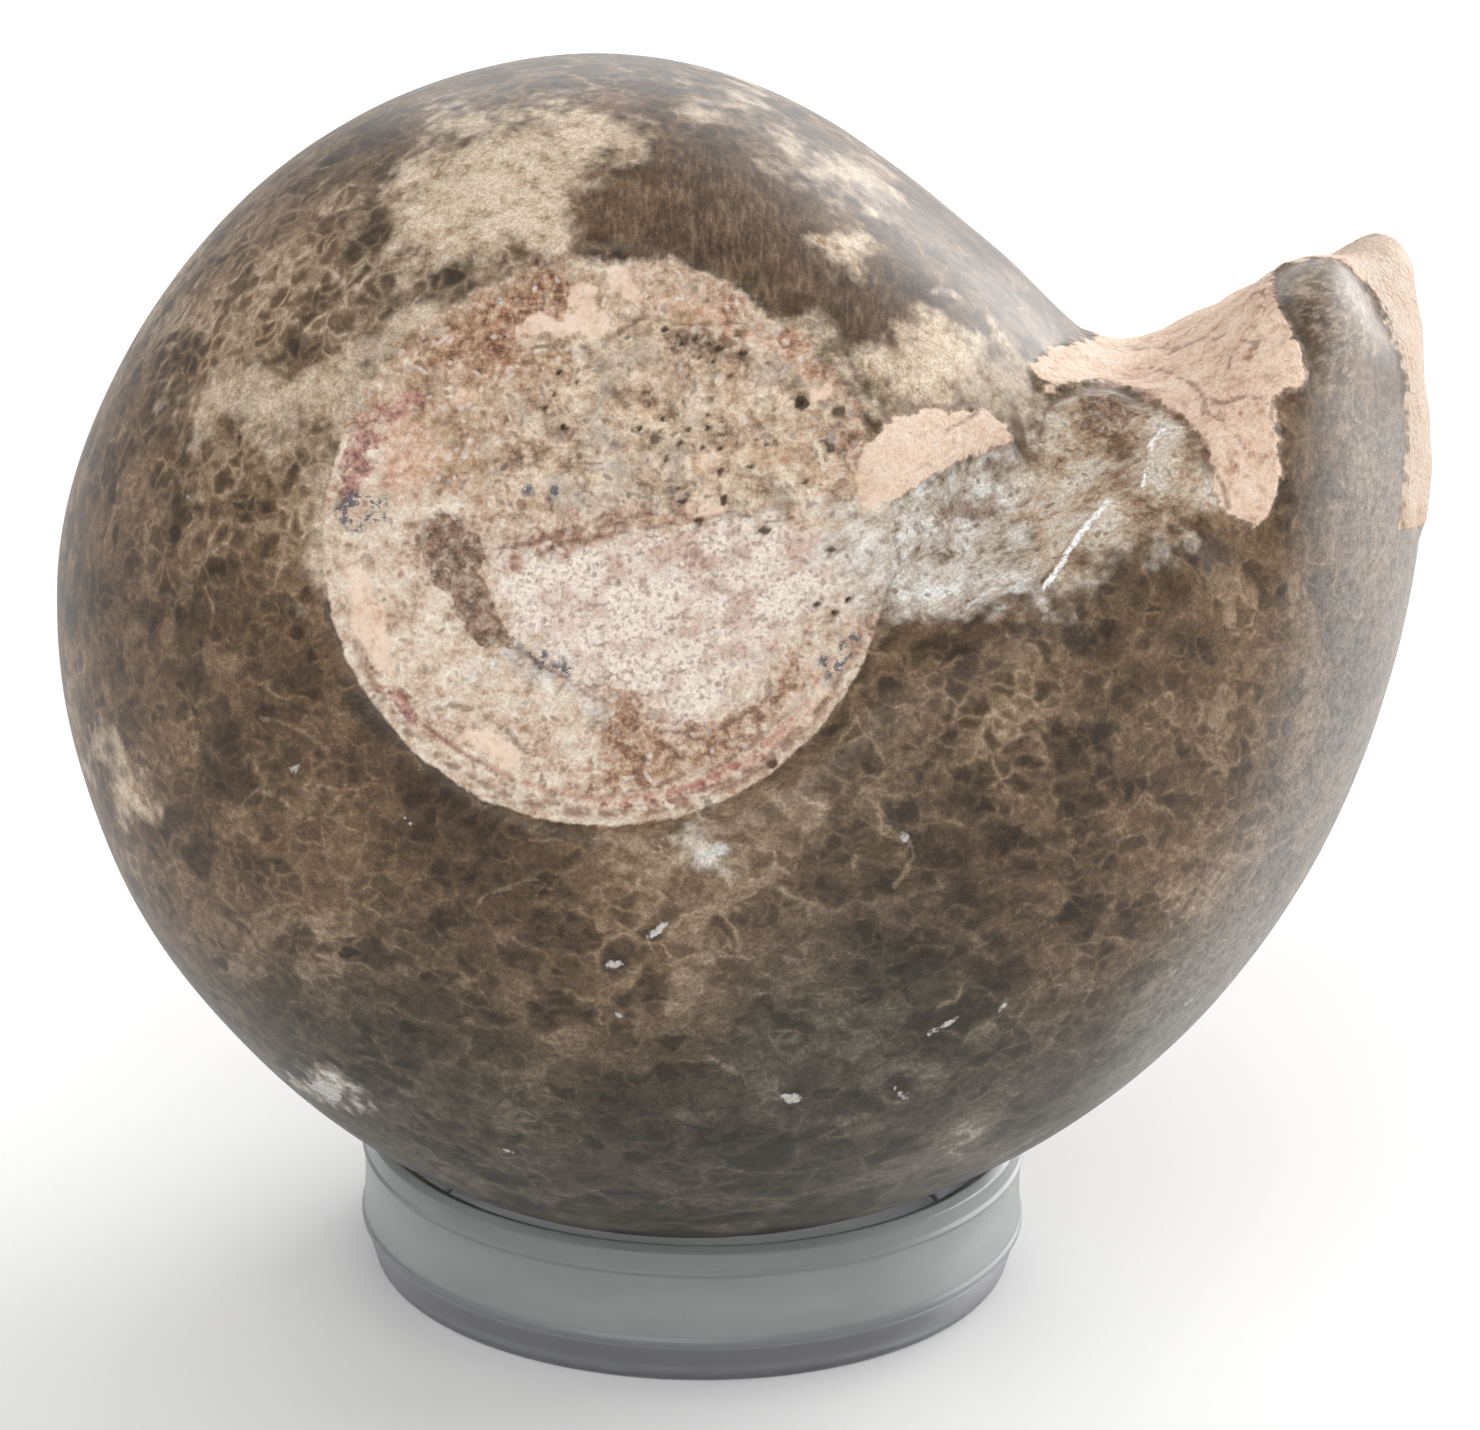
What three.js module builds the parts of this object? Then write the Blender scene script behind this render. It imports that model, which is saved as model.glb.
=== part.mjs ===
// A polished Vascoceras ammonite resting on a clear plastic display ring. Millimetres, +Z up.
//
// The ammonite is one solid. It is described as a field in the frame of its own coil, negative inside:
// x runs to the right and y up in the plane of the coil, and s runs along the axis out of the near flank.
// Coil angles are in degrees, from x towards y. The last whorl is followed from START_ANGLE round to
// START_ANGLE + 360, where it ends in a broken face above its own beginning.

import * as THREE from 'three';

// Driving dimensions of the whorls

const START_ANGLE = 20;
const VENTER_RADIUS = [
  [20, 37.8], [30, 37.7], [45, 36.0], [60, 35.8], [90, 37.6], [120, 39.0], [150, 41.0], [180, 44.4],
  [210, 47.5], [240, 51.8], [260, 54.7], [280, 56.7], [310, 58.8], [335, 60.3], [350, 61.3], [380, 65.0],
];
const HALF_WIDTH = 45;
const HALF_WIDTH_GAIN = 3;
const GAIN_ANGLES = [180, 350];
const SECTION_POWER = 2.35;

// The angles over which the last whorl's beginning shrinks, over which the rest rises out of it, and
// over which it is followed past a full turn to its lip
const SHRINK_ANGLES = [215, 330];
const SUNK_ANGLES = [140, 185];
const SUNK_RADIUS = 3.5;
const SUNK_WIDTH = 1.5;
const LIP_ANGLES = [28, 72];
const LAST_TURN_ANGLE = 110;

// Driving dimensions of the broken end of the last whorl: its height over the coil's x, on the two
// flanks and along the middle, and how far it drops away towards the flanks

const END_HEIGHT_FLANK = [
  [28, 12.0], [37, 14.0], [42, 16.4], [46, 19.8], [49, 22.6], [53, 24.4], [57, 22.8], [63, 16.5],
];
const END_HEIGHT_MIDDLE = [[28, 12.0], [37, 14.4], [47, 18.8], [54, 21.8], [60, 25.2], [62.5, 23.8], [65.5, 16.5]];
const END_FLANK_NEAR = [8, 20];
const END_FLANK_FAR = [10, 22];
const END_DROP = 6.5;
const END_DROP_POWER = 2.4;
const END_REACH = 30;
const END_STEEPNESS = 0.84;
const END_START = [2, 14];
const END_WALL = 60;
const END_ROUNDING = { middle: 3, gain: 5 };

// Driving dimensions of the umbilicus: the shoulder's radius over the coil angle, and the stone infill

const SHOULDER_RADIUS = [[250, 6], [300, 14], [325, 20.5], [353, 30.7], [372, 41.0], [382, 46.0]];
const SHOULDER_SLOPE = 0.85;
const SHOULDER_STEEPNESS = 0.76;
const SHOULDER_ROUNDING = 6;
const INFILL_RADIUS = 20.4;
const INFILL_LEVEL = 40.7;
const INFILL_TILT = -0.085;
const INFILL_CENTRE = { x: -1.1, y: -0.5 };
const INFILL_DRAFT = 0.9;
const INFILL_FOOT = 1.5;
const INFILL_RIM = 1.2;

// Fillets in the valley between the whorls, wider in the channel under the broken end

const CHANNEL_CENTRE = { x: 36, y: 13 };
const CHANNEL_REACH = [6, 30];
const VALLEY_FILLET = 2;
const CHANNEL_FILLET = 5.5;

// Lumps and hollows left by the broken chambers: place in the coil frame, radius and height

const LUMPS = [
  { x: 36.0, y: 7.5, s: 25, radius: 7.5, height: 3.0 },
  { x: 41.5, y: 8.5, s: 27, radius: 5.0, height: 1.2 },
  { x: 44.5, y: 1.5, s: 34, radius: 7.0, height: -1.3 },
  { x: 30.0, y: 2.0, s: 36, radius: 7.0, height: -1.0 },
  { x: 60.0, y: 20.0, s: 21, radius: 6.0, height: -1.0 },
  { x: -31.0, y: 4.0, s: -38, radius: 12, height: -1.6 },
  { x: 40.0, y: 6.0, s: -29, radius: 9.0, height: 2.0 },
  { x: 50.0, y: 12.0, s: -28, radius: 8.0, height: -1.6 },
];

// Driving dimensions of the ring, and where the coil's centre stands over the ring's axis

const RING = {
  baseRadius: 26.1,
  wallRadius: 27.05,
  beadRadius: 27.3,
  rimRadius: 26.2,
  seatRadius: 25.3,
  boreRadius: 21.8,
  boreFlare: 0.6,
  lowBeadHeight: 3.7,
  highBeadHeight: 9.75,
  beadHalfHeight: 0.45,
  seatHeight: 11.8,
  seatDepth: 3.4,
  height: 12.0,
};
const RING_SEGMENTS = 48;
const COIL_CENTRE = { x: -5.8, y: 0.9, z: 61.9 };
const AXIS_TILT = 18;

// Spacing of the lattice that the ammonite's faces are found on: fine where the whorl ends

const LATTICE = {
  x: [[-53, 22, 3.6], [22, 68, 2.6]],
  y: [[-62, -8, 3.7], [-8, 44, 2.7]],
  s: [[-54, 10, 3.9], [10, 53, 3.1]],
};
const SURFACE_STEPS = 3;
const SLOPE_REACH = 0.05;
const LEAST_STEEPNESS = 0.1;

const STONE = { color: 0x6b5d4c, roughness: 0.22, metalness: 0 };
const PLASTIC = { color: 0xb9bcc0, roughness: 0.18, metalness: 0, transparent: true, opacity: 0.45 };

const { degToRad, radToDeg, lerp, smoothstep } = THREE.MathUtils;

// A smooth curve through [place, value] knots, level past its two ends
function curveThrough(knots) {
  const last = knots.length - 1;
  const slope = (i) => {
    const before = knots[Math.max(i - 1, 0)];
    const after = knots[Math.min(i + 1, last)];
    return (after[1] - before[1]) / (after[0] - before[0]);
  };
  return (place) => {
    if (place <= knots[0][0]) return knots[0][1];
    if (place >= knots[last][0]) return knots[last][1];
    const i = knots.findIndex((knot) => knot[0] > place) - 1;
    const [x0, y0] = knots[i];
    const [x1, y1] = knots[i + 1];
    const span = x1 - x0;
    const t = (place - x0) / span;
    const rise = t * t * (3 - 2 * t);
    const start = t * (1 - t) * (1 - t) * span * slope(i);
    const end = t * t * (t - 1) * span * slope(i + 1);
    return lerp(y0, y1, rise) + start + end;
  };
}

// The smaller of two fields, with the valley where they meet filled over the width given
function filletedMin(a, b, width) {
  const share = Math.max(width - Math.abs(a - b), 0) / width;
  return Math.min(a, b) - (share * share * width) / 4;
}

// The larger of two fields, with the edge where they meet rounded over the width given
function roundedMax(a, b, width) {
  return -filletedMin(-a, -b, width);
}

const venterRadius = curveThrough(VENTER_RADIUS);
const shoulderRadius = curveThrough(SHOULDER_RADIUS);
const endHeightFlank = curveThrough(END_HEIGHT_FLANK);
const endHeightMiddle = curveThrough(END_HEIGHT_MIDDLE);

// Distance to a whorl whose section is a superellipse of the venter radius and half-width given
function whorlField(r, width, radius, halfWidth) {
  const q = ((r / radius) ** SECTION_POWER + (width / halfWidth) ** SECTION_POWER) ** (1 / SECTION_POWER);
  return Math.hypot(r, width) * (1 - 1 / Math.max(q, 1e-6));
}

// The beginning of the last whorl, which shrinks under the rest of it and closes the coil
function innerWhorl(angle, r, width) {
  const shrink = (1 - VENTER_RADIUS[0][1] / VENTER_RADIUS.at(-1)[1]) * smoothstep(angle, ...SHRINK_ANGLES);
  return whorlField(r, width, venterRadius(angle) * (1 - shrink), HALF_WIDTH);
}

// The rest of the last whorl, which starts inside its own beginning and widens up to its broken end
function outerWhorl(angle, x, y, s, r, width) {
  const sunk = 1 - smoothstep(angle, ...SUNK_ANGLES);
  const past = 1 - smoothstep(angle, ...LIP_ANGLES);
  const lastRadius = VENTER_RADIUS.at(-1)[1];
  const radius = lerp(venterRadius(angle) - SUNK_RADIUS * sunk, lastRadius, past);
  const gain = HALF_WIDTH_GAIN * smoothstep(angle, ...GAIN_ANGLES);
  const halfWidth = lerp(HALF_WIDTH - SUNK_WIDTH * sunk + gain, HALF_WIDTH + HALF_WIDTH_GAIN, past);
  const whorl = whorlField(r, width, radius, halfWidth);

  const flank = smoothstep(s, ...END_FLANK_NEAR) + smoothstep(-s, ...END_FLANK_FAR);
  const drop = END_DROP * (width / END_REACH) ** END_DROP_POWER;
  const height = lerp(endHeightMiddle(x), endHeightFlank(x), flank) - drop;
  const endFace = (y - height) * END_STEEPNESS - END_WALL * (1 - smoothstep(x, ...END_START));
  const edge = END_ROUNDING.middle + END_ROUNDING.gain * Math.min(width / END_REACH, 1) ** 2;

  const followed = angle < LAST_TURN_ANGLE ? angle + 360 : angle;
  const shoulder = shoulderRadius(followed);
  const share = Math.max(1 - (shoulder / radius) ** SECTION_POWER, 0) ** (1 / SECTION_POWER);
  const wall = (width - halfWidth * share - SHOULDER_SLOPE * (r - shoulder)) * SHOULDER_STEEPNESS;
  return roundedMax(roundedMax(whorl, endFace, edge), wall, SHOULDER_ROUNDING);
}

// The flat face of the stone that fills the umbilicus of each flank, cut into the whorls
function umbilicalCut(x, y, width) {
  const wall = Math.hypot(x - INFILL_CENTRE.x, y - INFILL_CENTRE.y) - INFILL_RADIUS;
  const above = width - INFILL_LEVEL - INFILL_TILT * y;
  return roundedMax(-above, wall - above * INFILL_DRAFT, INFILL_FOOT);
}

function ammoniteField(x, y, s) {
  const r = Math.hypot(x, y);
  const width = Math.abs(s);
  const degrees = radToDeg(Math.atan2(y, x));
  const angle = degrees < START_ANGLE ? degrees + 360 : degrees;
  const channel = 1 - smoothstep(Math.hypot(x - CHANNEL_CENTRE.x, y - CHANNEL_CENTRE.y), ...CHANNEL_REACH);
  const inner = innerWhorl(angle, r, width);
  const outer = outerWhorl(angle, x, y, s, r, width);
  const whorls = filletedMin(inner, outer, VALLEY_FILLET + CHANNEL_FILLET * channel);
  let field = roundedMax(whorls, -umbilicalCut(x, y, width), INFILL_RIM);
  for (const lump of LUMPS) {
    const near = 1 - ((x - lump.x) ** 2 + (y - lump.y) ** 2 + (s - lump.s) ** 2) / lump.radius ** 2;
    if (near > 0) field -= lump.height * near * near;
  }
  return field;
}

// The places of the lattice's planes along one direction, from [start, end, spacing] stretches
function latticePlanes(stretches) {
  const planes = [];
  for (const [start, end, spacing] of stretches) {
    const count = Math.round((end - start) / spacing);
    for (let i = 0; i < count; i += 1) planes.push(lerp(start, end, i / count));
  }
  planes.push(stretches.at(-1)[1]);
  return planes;
}

// Moves a point along the field's slope onto its surface
function settleOnSurface(point, field) {
  for (let step = 0; step < SURFACE_STEPS; step += 1) {
    const value = field(point[0], point[1], point[2]);
    const slope = [0, 1, 2].map((axis) => {
      const moved = [...point];
      moved[axis] += SLOPE_REACH;
      return (field(...moved) - value) / SLOPE_REACH;
    });
    const steepness = slope[0] ** 2 + slope[1] ** 2 + slope[2] ** 2;
    const stride = value / Math.max(steepness, LEAST_STEEPNESS);
    for (let axis = 0; axis < 3; axis += 1) point[axis] -= stride * slope[axis];
  }
}

// Where the corners of a lattice square lie in and out by turns, the surface would touch itself there.
// The corner nearest the surface changes sides instead, until no such square is left.
function separateTouchingSheets(values, size, at) {
  const squares = [
    [[0, 0, 0], [1, 0, 0], [1, 1, 0], [0, 1, 0]],
    [[0, 0, 0], [0, 1, 0], [0, 1, 1], [0, 0, 1]],
    [[0, 0, 0], [0, 0, 1], [1, 0, 1], [1, 0, 0]],
  ];
  let changed = true;
  while (changed) {
    changed = false;
    for (let i = 0; i < size[0] - 1; i += 1) {
      for (let j = 0; j < size[1] - 1; j += 1) {
        for (let k = 0; k < size[2] - 1; k += 1) {
          for (const square of squares) {
            const places = square.map(([di, dj, dk]) => at(i + di, j + dj, k + dk));
            const [a, b, c, d] = places.map((place) => values[place] < 0);
            if (a !== c || b !== d || a === b) continue;
            const nearest = places.reduce((p, q) => (Math.abs(values[p]) < Math.abs(values[q]) ? p : q));
            values[nearest] = -values[nearest];
            changed = true;
          }
        }
      }
    }
  }
}

// The closed surface of a field: one vertex in each lattice cell that the surface crosses, and two
// triangles across each lattice edge that it crosses
function surfaceOf(field, planes) {
  const size = planes.map((list) => list.length);
  const at = (i, j, k) => (i * size[1] + j) * size[2] + k;
  const values = new Float64Array(size[0] * size[1] * size[2]);
  for (let i = 0; i < size[0]; i += 1) {
    for (let j = 0; j < size[1]; j += 1) {
      for (let k = 0; k < size[2]; k += 1) {
        values[at(i, j, k)] = field(planes[0][i], planes[1][j], planes[2][k]);
      }
    }
  }

  separateTouchingSheets(values, size, at);

  const corners = [];
  for (let n = 0; n < 8; n += 1) corners.push([n & 1, (n >> 1) & 1, (n >> 2) & 1]);
  const vertexOf = new Map();
  const points = [];
  const cellVertex = (i, j, k) => {
    const key = at(i, j, k);
    if (vertexOf.has(key)) return vertexOf.get(key);
    const sum = [0, 0, 0];
    let crossings = 0;
    for (const from of corners) {
      for (let axis = 0; axis < 3; axis += 1) {
        if (from[axis]) continue;
        const to = from.map((bit, n) => (n === axis ? 1 : bit));
        const a = values[at(i + from[0], j + from[1], k + from[2])];
        const b = values[at(i + to[0], j + to[1], k + to[2])];
        if (a < 0 === b < 0) continue;
        const cell = [i, j, k];
        for (let n = 0; n < 3; n += 1) {
          const start = planes[n][cell[n] + from[n]];
          const end = planes[n][cell[n] + to[n]];
          sum[n] += lerp(start, end, a / (a - b));
        }
        crossings += 1;
      }
    }
    const point = sum.map((total) => total / crossings);
    settleOnSurface(point, field);
    vertexOf.set(key, points.length);
    points.push(point);
    return points.length - 1;
  };

  const faces = [];
  const gap = (a, b) => Math.hypot(...points[a].map((value, n) => value - points[b][n]));
  const addQuad = (a, b, c, d) => {
    if (gap(a, c) <= gap(b, d)) faces.push(a, b, c, a, c, d);
    else faces.push(a, b, d, b, c, d);
  };
  for (let i = 1; i < size[0] - 1; i += 1) {
    for (let j = 1; j < size[1] - 1; j += 1) {
      for (let k = 1; k < size[2] - 1; k += 1) {
        const inside = values[at(i, j, k)] < 0;
        const rings = [
          [at(i + 1, j, k), () => [[i, j - 1, k - 1], [i, j, k - 1], [i, j, k], [i, j - 1, k]]],
          [at(i, j + 1, k), () => [[i - 1, j, k - 1], [i - 1, j, k], [i, j, k], [i, j, k - 1]]],
          [at(i, j, k + 1), () => [[i - 1, j - 1, k], [i, j - 1, k], [i, j, k], [i - 1, j, k]]],
        ];
        for (const [next, cells] of rings) {
          if (inside === values[next] < 0) continue;
          const ring = cells().map((cell) => cellVertex(...cell));
          if (inside) addQuad(...ring);
          else addQuad(...ring.reverse());
        }
      }
    }
  }
  const geometry = new THREE.BufferGeometry();
  geometry.setAttribute('position', new THREE.Float32BufferAttribute(points.flat(), 3));
  geometry.setIndex(faces);
  geometry.computeVertexNormals();
  return geometry;
}

function makeAmmonite() {
  const planes = [LATTICE.x, LATTICE.y, LATTICE.s].map(latticePlanes);
  const geometry = surfaceOf(ammoniteField, planes);
  const mesh = new THREE.Mesh(geometry, new THREE.MeshStandardMaterial(STONE));
  mesh.name = 'ammonite';
  mesh.rotation.x = degToRad(90 - AXIS_TILT);
  mesh.position.set(COIL_CENTRE.x, COIL_CENTRE.y, COIL_CENTRE.z);
  return mesh;
}

function makeRingStand() {
  const rimDrop = RING.height - RING.seatHeight;
  const bead = (height) => [
    [RING.wallRadius, height - RING.beadHalfHeight],
    [RING.beadRadius, height],
    [RING.wallRadius, height + RING.beadHalfHeight],
  ];
  const section = [
    [RING.boreRadius + RING.boreFlare, 0],
    [RING.baseRadius, 0],
    ...bead(RING.lowBeadHeight),
    ...bead(RING.highBeadHeight),
    [(RING.wallRadius + RING.rimRadius) / 2, RING.height - rimDrop * 2],
    [RING.rimRadius, RING.height],
    [RING.seatRadius, RING.seatHeight],
    [RING.boreRadius, RING.seatHeight - RING.seatDepth],
    [RING.boreRadius, RING.boreFlare],
  ];
  const profile = [...section, section[0]].map(([radius, height]) => new THREE.Vector2(radius, height));
  const geometry = new THREE.LatheGeometry(profile, RING_SEGMENTS);
  geometry.rotateX(Math.PI / 2);
  const mesh = new THREE.Mesh(geometry, new THREE.MeshStandardMaterial(PLASTIC));
  mesh.name = 'ring_stand';
  return mesh;
}

// The origin is under the middle of the whole object, on the surface that the ring stands on
const ammoniteOnRing = new THREE.Group();
ammoniteOnRing.add(makeRingStand(), makeAmmonite());
const middle = new THREE.Box3().setFromObject(ammoniteOnRing, true).getCenter(new THREE.Vector3());
ammoniteOnRing.position.set(-middle.x, -middle.y, 0);
ammoniteOnRing.updateMatrixWorld(true);

export default ammoniteOnRing;
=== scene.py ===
# A polished ammonite on a clear plastic display ring, on a pale floor in soft light.
#
# The fossil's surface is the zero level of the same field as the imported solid's, on a closer lattice and
# with the fine relief of its stone. The field is in millimetres, in the frame of the coil: x to the right and
# y up in the plane of the coil, s along the axis out of the near flank. Blender's own lengths are metres.

import math

import bmesh
import bpy
import numpy as np
from mathutils import Matrix, Vector


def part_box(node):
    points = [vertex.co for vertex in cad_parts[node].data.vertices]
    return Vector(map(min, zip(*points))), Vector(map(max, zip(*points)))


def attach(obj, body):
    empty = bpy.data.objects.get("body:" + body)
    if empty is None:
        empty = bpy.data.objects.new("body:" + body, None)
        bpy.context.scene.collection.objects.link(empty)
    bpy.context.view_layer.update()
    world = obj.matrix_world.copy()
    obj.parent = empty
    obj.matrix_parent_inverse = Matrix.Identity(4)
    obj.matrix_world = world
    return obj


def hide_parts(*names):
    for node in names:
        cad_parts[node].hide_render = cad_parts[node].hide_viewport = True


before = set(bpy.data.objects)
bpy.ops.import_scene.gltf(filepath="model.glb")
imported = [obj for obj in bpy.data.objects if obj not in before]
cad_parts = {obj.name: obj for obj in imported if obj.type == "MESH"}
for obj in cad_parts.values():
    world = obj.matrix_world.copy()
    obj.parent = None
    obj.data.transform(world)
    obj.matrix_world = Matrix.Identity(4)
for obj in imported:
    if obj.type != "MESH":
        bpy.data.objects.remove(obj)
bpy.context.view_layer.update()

MM = 0.001

# Driving dimensions of the whorls. Coil angles are in degrees, from x towards y.
START_ANGLE = 20.0
VENTER_RADIUS = [
    (20, 37.8), (30, 37.7), (45, 36.0), (60, 35.8), (90, 37.6), (120, 39.0), (150, 41.0), (180, 44.4),
    (210, 47.5), (240, 51.8), (260, 54.7), (280, 56.7), (310, 58.8), (335, 60.3), (350, 61.3), (380, 65.0),
]
HALF_WIDTH = 45.0
HALF_WIDTH_GAIN = 3.0
GAIN_ANGLES = (180, 350)
SECTION_POWER = 2.35
SHRINK_ANGLES = (215, 330)
SUNK_ANGLES = (140, 185)
SUNK_RADIUS = 3.5
SUNK_WIDTH = 1.5
LIP_ANGLES = (28, 72)
LAST_TURN_ANGLE = 110.0

# Driving dimensions of the broken end of the last whorl: its height over the coil's x
END_HEIGHT_FLANK = [
    (28, 12.0), (37, 14.0), (42, 16.4), (46, 19.8), (49, 22.6), (53, 24.4), (57, 22.8), (63, 16.5),
]
END_HEIGHT_MIDDLE = [(28, 12.0), (37, 14.4), (47, 18.8), (54, 21.8), (60, 25.2), (62.5, 23.8), (65.5, 16.5)]
END_FLANK_NEAR = (8, 20)
END_FLANK_FAR = (10, 22)
END_DROP = 6.5
END_DROP_POWER = 2.4
END_REACH = 30.0
END_STEEPNESS = 0.84
END_START = (2, 14)
END_WALL = 60.0
END_ROUNDING = (3.0, 5.0)

# Driving dimensions of the umbilicus: its shoulder's radius over the coil angle, and its stone infill
SHOULDER_RADIUS = [(250, 6), (300, 14), (325, 20.5), (353, 30.7), (372, 41.0), (382, 46.0)]
SHOULDER_SLOPE = 0.85
SHOULDER_STEEPNESS = 0.76
SHOULDER_ROUNDING = 6.0
INFILL_RADIUS = 20.4
INFILL_LEVEL = 40.7
INFILL_TILT = -0.085
INFILL_CENTRE = (-1.1, -0.5)
INFILL_DRAFT = 0.9
INFILL_FOOT = 1.5
INFILL_RIM = 1.2

# The valley between the whorls, filled most at its middle
CHANNEL_CENTRE = (36, 13)
CHANNEL_REACH = (6, 30)
VALLEY_FILLET = 2.0
CHANNEL_FILLET = 5.5

# Lumps and hollows left by the broken chambers: place in the coil frame, radius and height
LUMPS = [
    ((36.0, 7.5, 25), 7.5, 3.0),
    ((41.5, 8.5, 27), 5.0, 1.2),
    ((44.5, 1.5, 34), 7.0, -1.3),
    ((30.0, 2.0, 36), 7.0, -1.0),
    ((60.0, 20.0, 21), 6.0, -1.0),
    ((-31.0, 4.0, -38), 12.0, -1.6),
    ((40.0, 6.0, -29), 9.0, 2.0),
    ((50.0, 12.0, -28), 8.0, -1.6),
]

# Where the coil's centre stands over the ring's axis, and how far its plane leans back
COIL_CENTRE = (-5.8, 0.9, 61.9)
AXIS_TILT = 18.0

# The lattice that the surface is found on, and how the broken stone of the near flank is divided further
LATTICE_LOW = (-54.0, -63.0, -55.0)
LATTICE_HIGH = (69.0, 45.0, 54.0)
LATTICE_STEP = 1.0
SURFACE_STEPS = 4
SLOPE_REACH = 0.02
LEAST_STEEPNESS = 0.1
DETAIL_CUTS = 2

# The camera: millimetres from the ring's axis, degrees, and pixels of the 1480 x 1430 picture
PICTURE_WIDTH = 1480
PICTURE_MIDDLE = (740, 715)
PICTURE_SCALE = 12.4
CAMERA_AIM = (3.18, 0.56, 46.53)
CAMERA_DISTANCE = 520.0
CAMERA_ELEVATION = 20.0
CAMERA_ROLL = 1.1
SENSOR_WIDTH = 36.0


# Patches of the stone, by their outlines in the picture

CREAM = [
    [(432, 108), (500, 122), (565, 114), (612, 118), (641, 136), (634, 150), (590, 172), (568, 192),
     (570, 215), (560, 245), (490, 250), (420, 262), (392, 240), (398, 190), (420, 160), (455, 150),
     (470, 140), (430, 130)],
    [(798, 326), (815, 328), (838, 352), (870, 352), (898, 335), (935, 312), (962, 325), (985, 345),
     (965, 372), (940, 386), (900, 388), (860, 384), (835, 362)],
    [(826, 240), (845, 234), (866, 242), (862, 260), (838, 252)],
]
CREAM_SOFT = [
    [(190, 410), (210, 375), (260, 362), (320, 365), (355, 345), (395, 320), (430, 312), (425, 335),
     (395, 365), (380, 395), (345, 420), (300, 425), (240, 415), (205, 440)],
    [(320, 440), (338, 470), (334, 560), (322, 600), (306, 560), (312, 480)],
    [(696, 84), (745, 90), (752, 108), (700, 104)],
    [(780, 141), (840, 160), (900, 195), (880, 196), (820, 172), (782, 154)],
    [(112, 755), (128, 775), (140, 805), (128, 808), (116, 785)],
    [(940, 330), (1000, 342), (1032, 362), (1030, 400), (1000, 412), (950, 408), (890, 404), (880, 390),
     (940, 384)],
]
PEACH = [
    [(1028, 366), (1050, 350), (1080, 342), (1140, 335), (1200, 296), (1250, 262), (1279, 266), (1277, 288),
     (1284, 314), (1293, 331), (1304, 349), (1306, 379), (1298, 391), (1283, 393), (1274, 402), (1273, 421),
     (1278, 440), (1277, 483), (1268, 517), (1252, 526), (1235, 521), (1222, 504), (1212, 469), (1203, 446),
     (1187, 425), (1164, 408), (1135, 394), (1105, 384), (1075, 386), (1050, 392), (1036, 386)],
    [(866, 440), (884, 424), (925, 410), (985, 408), (1006, 426), (1016, 440), (985, 452), (950, 466),
     (915, 486), (890, 505), (864, 512), (852, 480)],
    [(343, 572), (362, 565), (384, 600), (392, 640), (398, 690), (372, 664), (352, 628)],
    [(462, 734), (490, 728), (523, 752), (518, 768), (490, 760)],
    [(602, 262), (612, 257), (627, 263), (632, 276), (645, 292), (640, 303), (627, 297), (612, 288)],
    [(571, 287), (584, 279), (602, 288), (598, 303), (610, 317), (606, 331), (592, 340), (577, 333),
     (566, 341), (548, 331), (531, 338), (519, 329), (538, 316), (561, 322), (574, 309)],
    [(808, 386), (832, 384), (828, 402), (810, 400)],
    [(686, 504), (706, 502), (724, 510), (706, 520), (692, 514)],
    [(803, 660), (812, 660), (835, 695), (818, 698)], [(456, 388), (479, 398), (466, 408), (454, 404)],
]

# Where the peach stone is at its palest
PALE = [
    [(1000, 440), (1020, 360), (1060, 340), (1130, 345), (1110, 384), (1050, 392)],
    [(870, 505), (880, 420), (930, 405), (1000, 405), (1020, 440), (900, 505)],
    [(335, 560), (370, 560), (400, 690), (350, 660)],
    [(455, 725), (530, 730), (520, 775), (470, 765)],
    [(570, 255), (650, 255), (610, 340), (520, 340)],
    [(1345, 250), (1420, 250), (1440, 520), (1385, 500)],
]
SPONGY = [
    [(560, 345), (620, 310), (690, 305), (760, 335), (830, 375), (868, 420), (870, 470), (840, 500),
     (770, 520), (690, 516), (620, 508), (560, 508), (505, 495), (500, 455), (530, 400)],
]
GRANULAR = [
    [(505, 548), (600, 522), (690, 520), (770, 530), (840, 520), (868, 560), (830, 620), (790, 650),
     (762, 690), (700, 722), (640, 702), (580, 676), (520, 642), (492, 600)],
]
RUST = [
    [(478, 300), (530, 278), (574, 290), (570, 318), (520, 340), (560, 360), (520, 375), (430, 372),
     (425, 345)],
    [(590, 690), (632, 700), (668, 738), (735, 722), (765, 700), (782, 645), (815, 620), (800, 664),
     (786, 704), (755, 744), (705, 776), (650, 792), (598, 790), (600, 740)],
    [(508, 536), (620, 515), (690, 512), (700, 522), (620, 534), (515, 556)],
    [(724, 294), (772, 318), (840, 368), (850, 392), (790, 350), (728, 312)],
    [(888, 392), (950, 386), (985, 392), (960, 404), (900, 402)],
    [(862, 400), (880, 420), (860, 475), (845, 470), (850, 430)],
    [(876, 585), (890, 580), (885, 625), (872, 640)],
]
ORANGE = [
    [(381, 424), (404, 417), (427, 434), (445, 455), (427, 482), (402, 508), (383, 487), (377, 448)],
    [(640, 300), (700, 300), (790, 345), (850, 392), (830, 388), (770, 350), (700, 318)],
    [(824, 690), (832, 698), (790, 742), (720, 786), (640, 808), (600, 812), (600, 802), (660, 792),
     (740, 762)],
]
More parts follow.
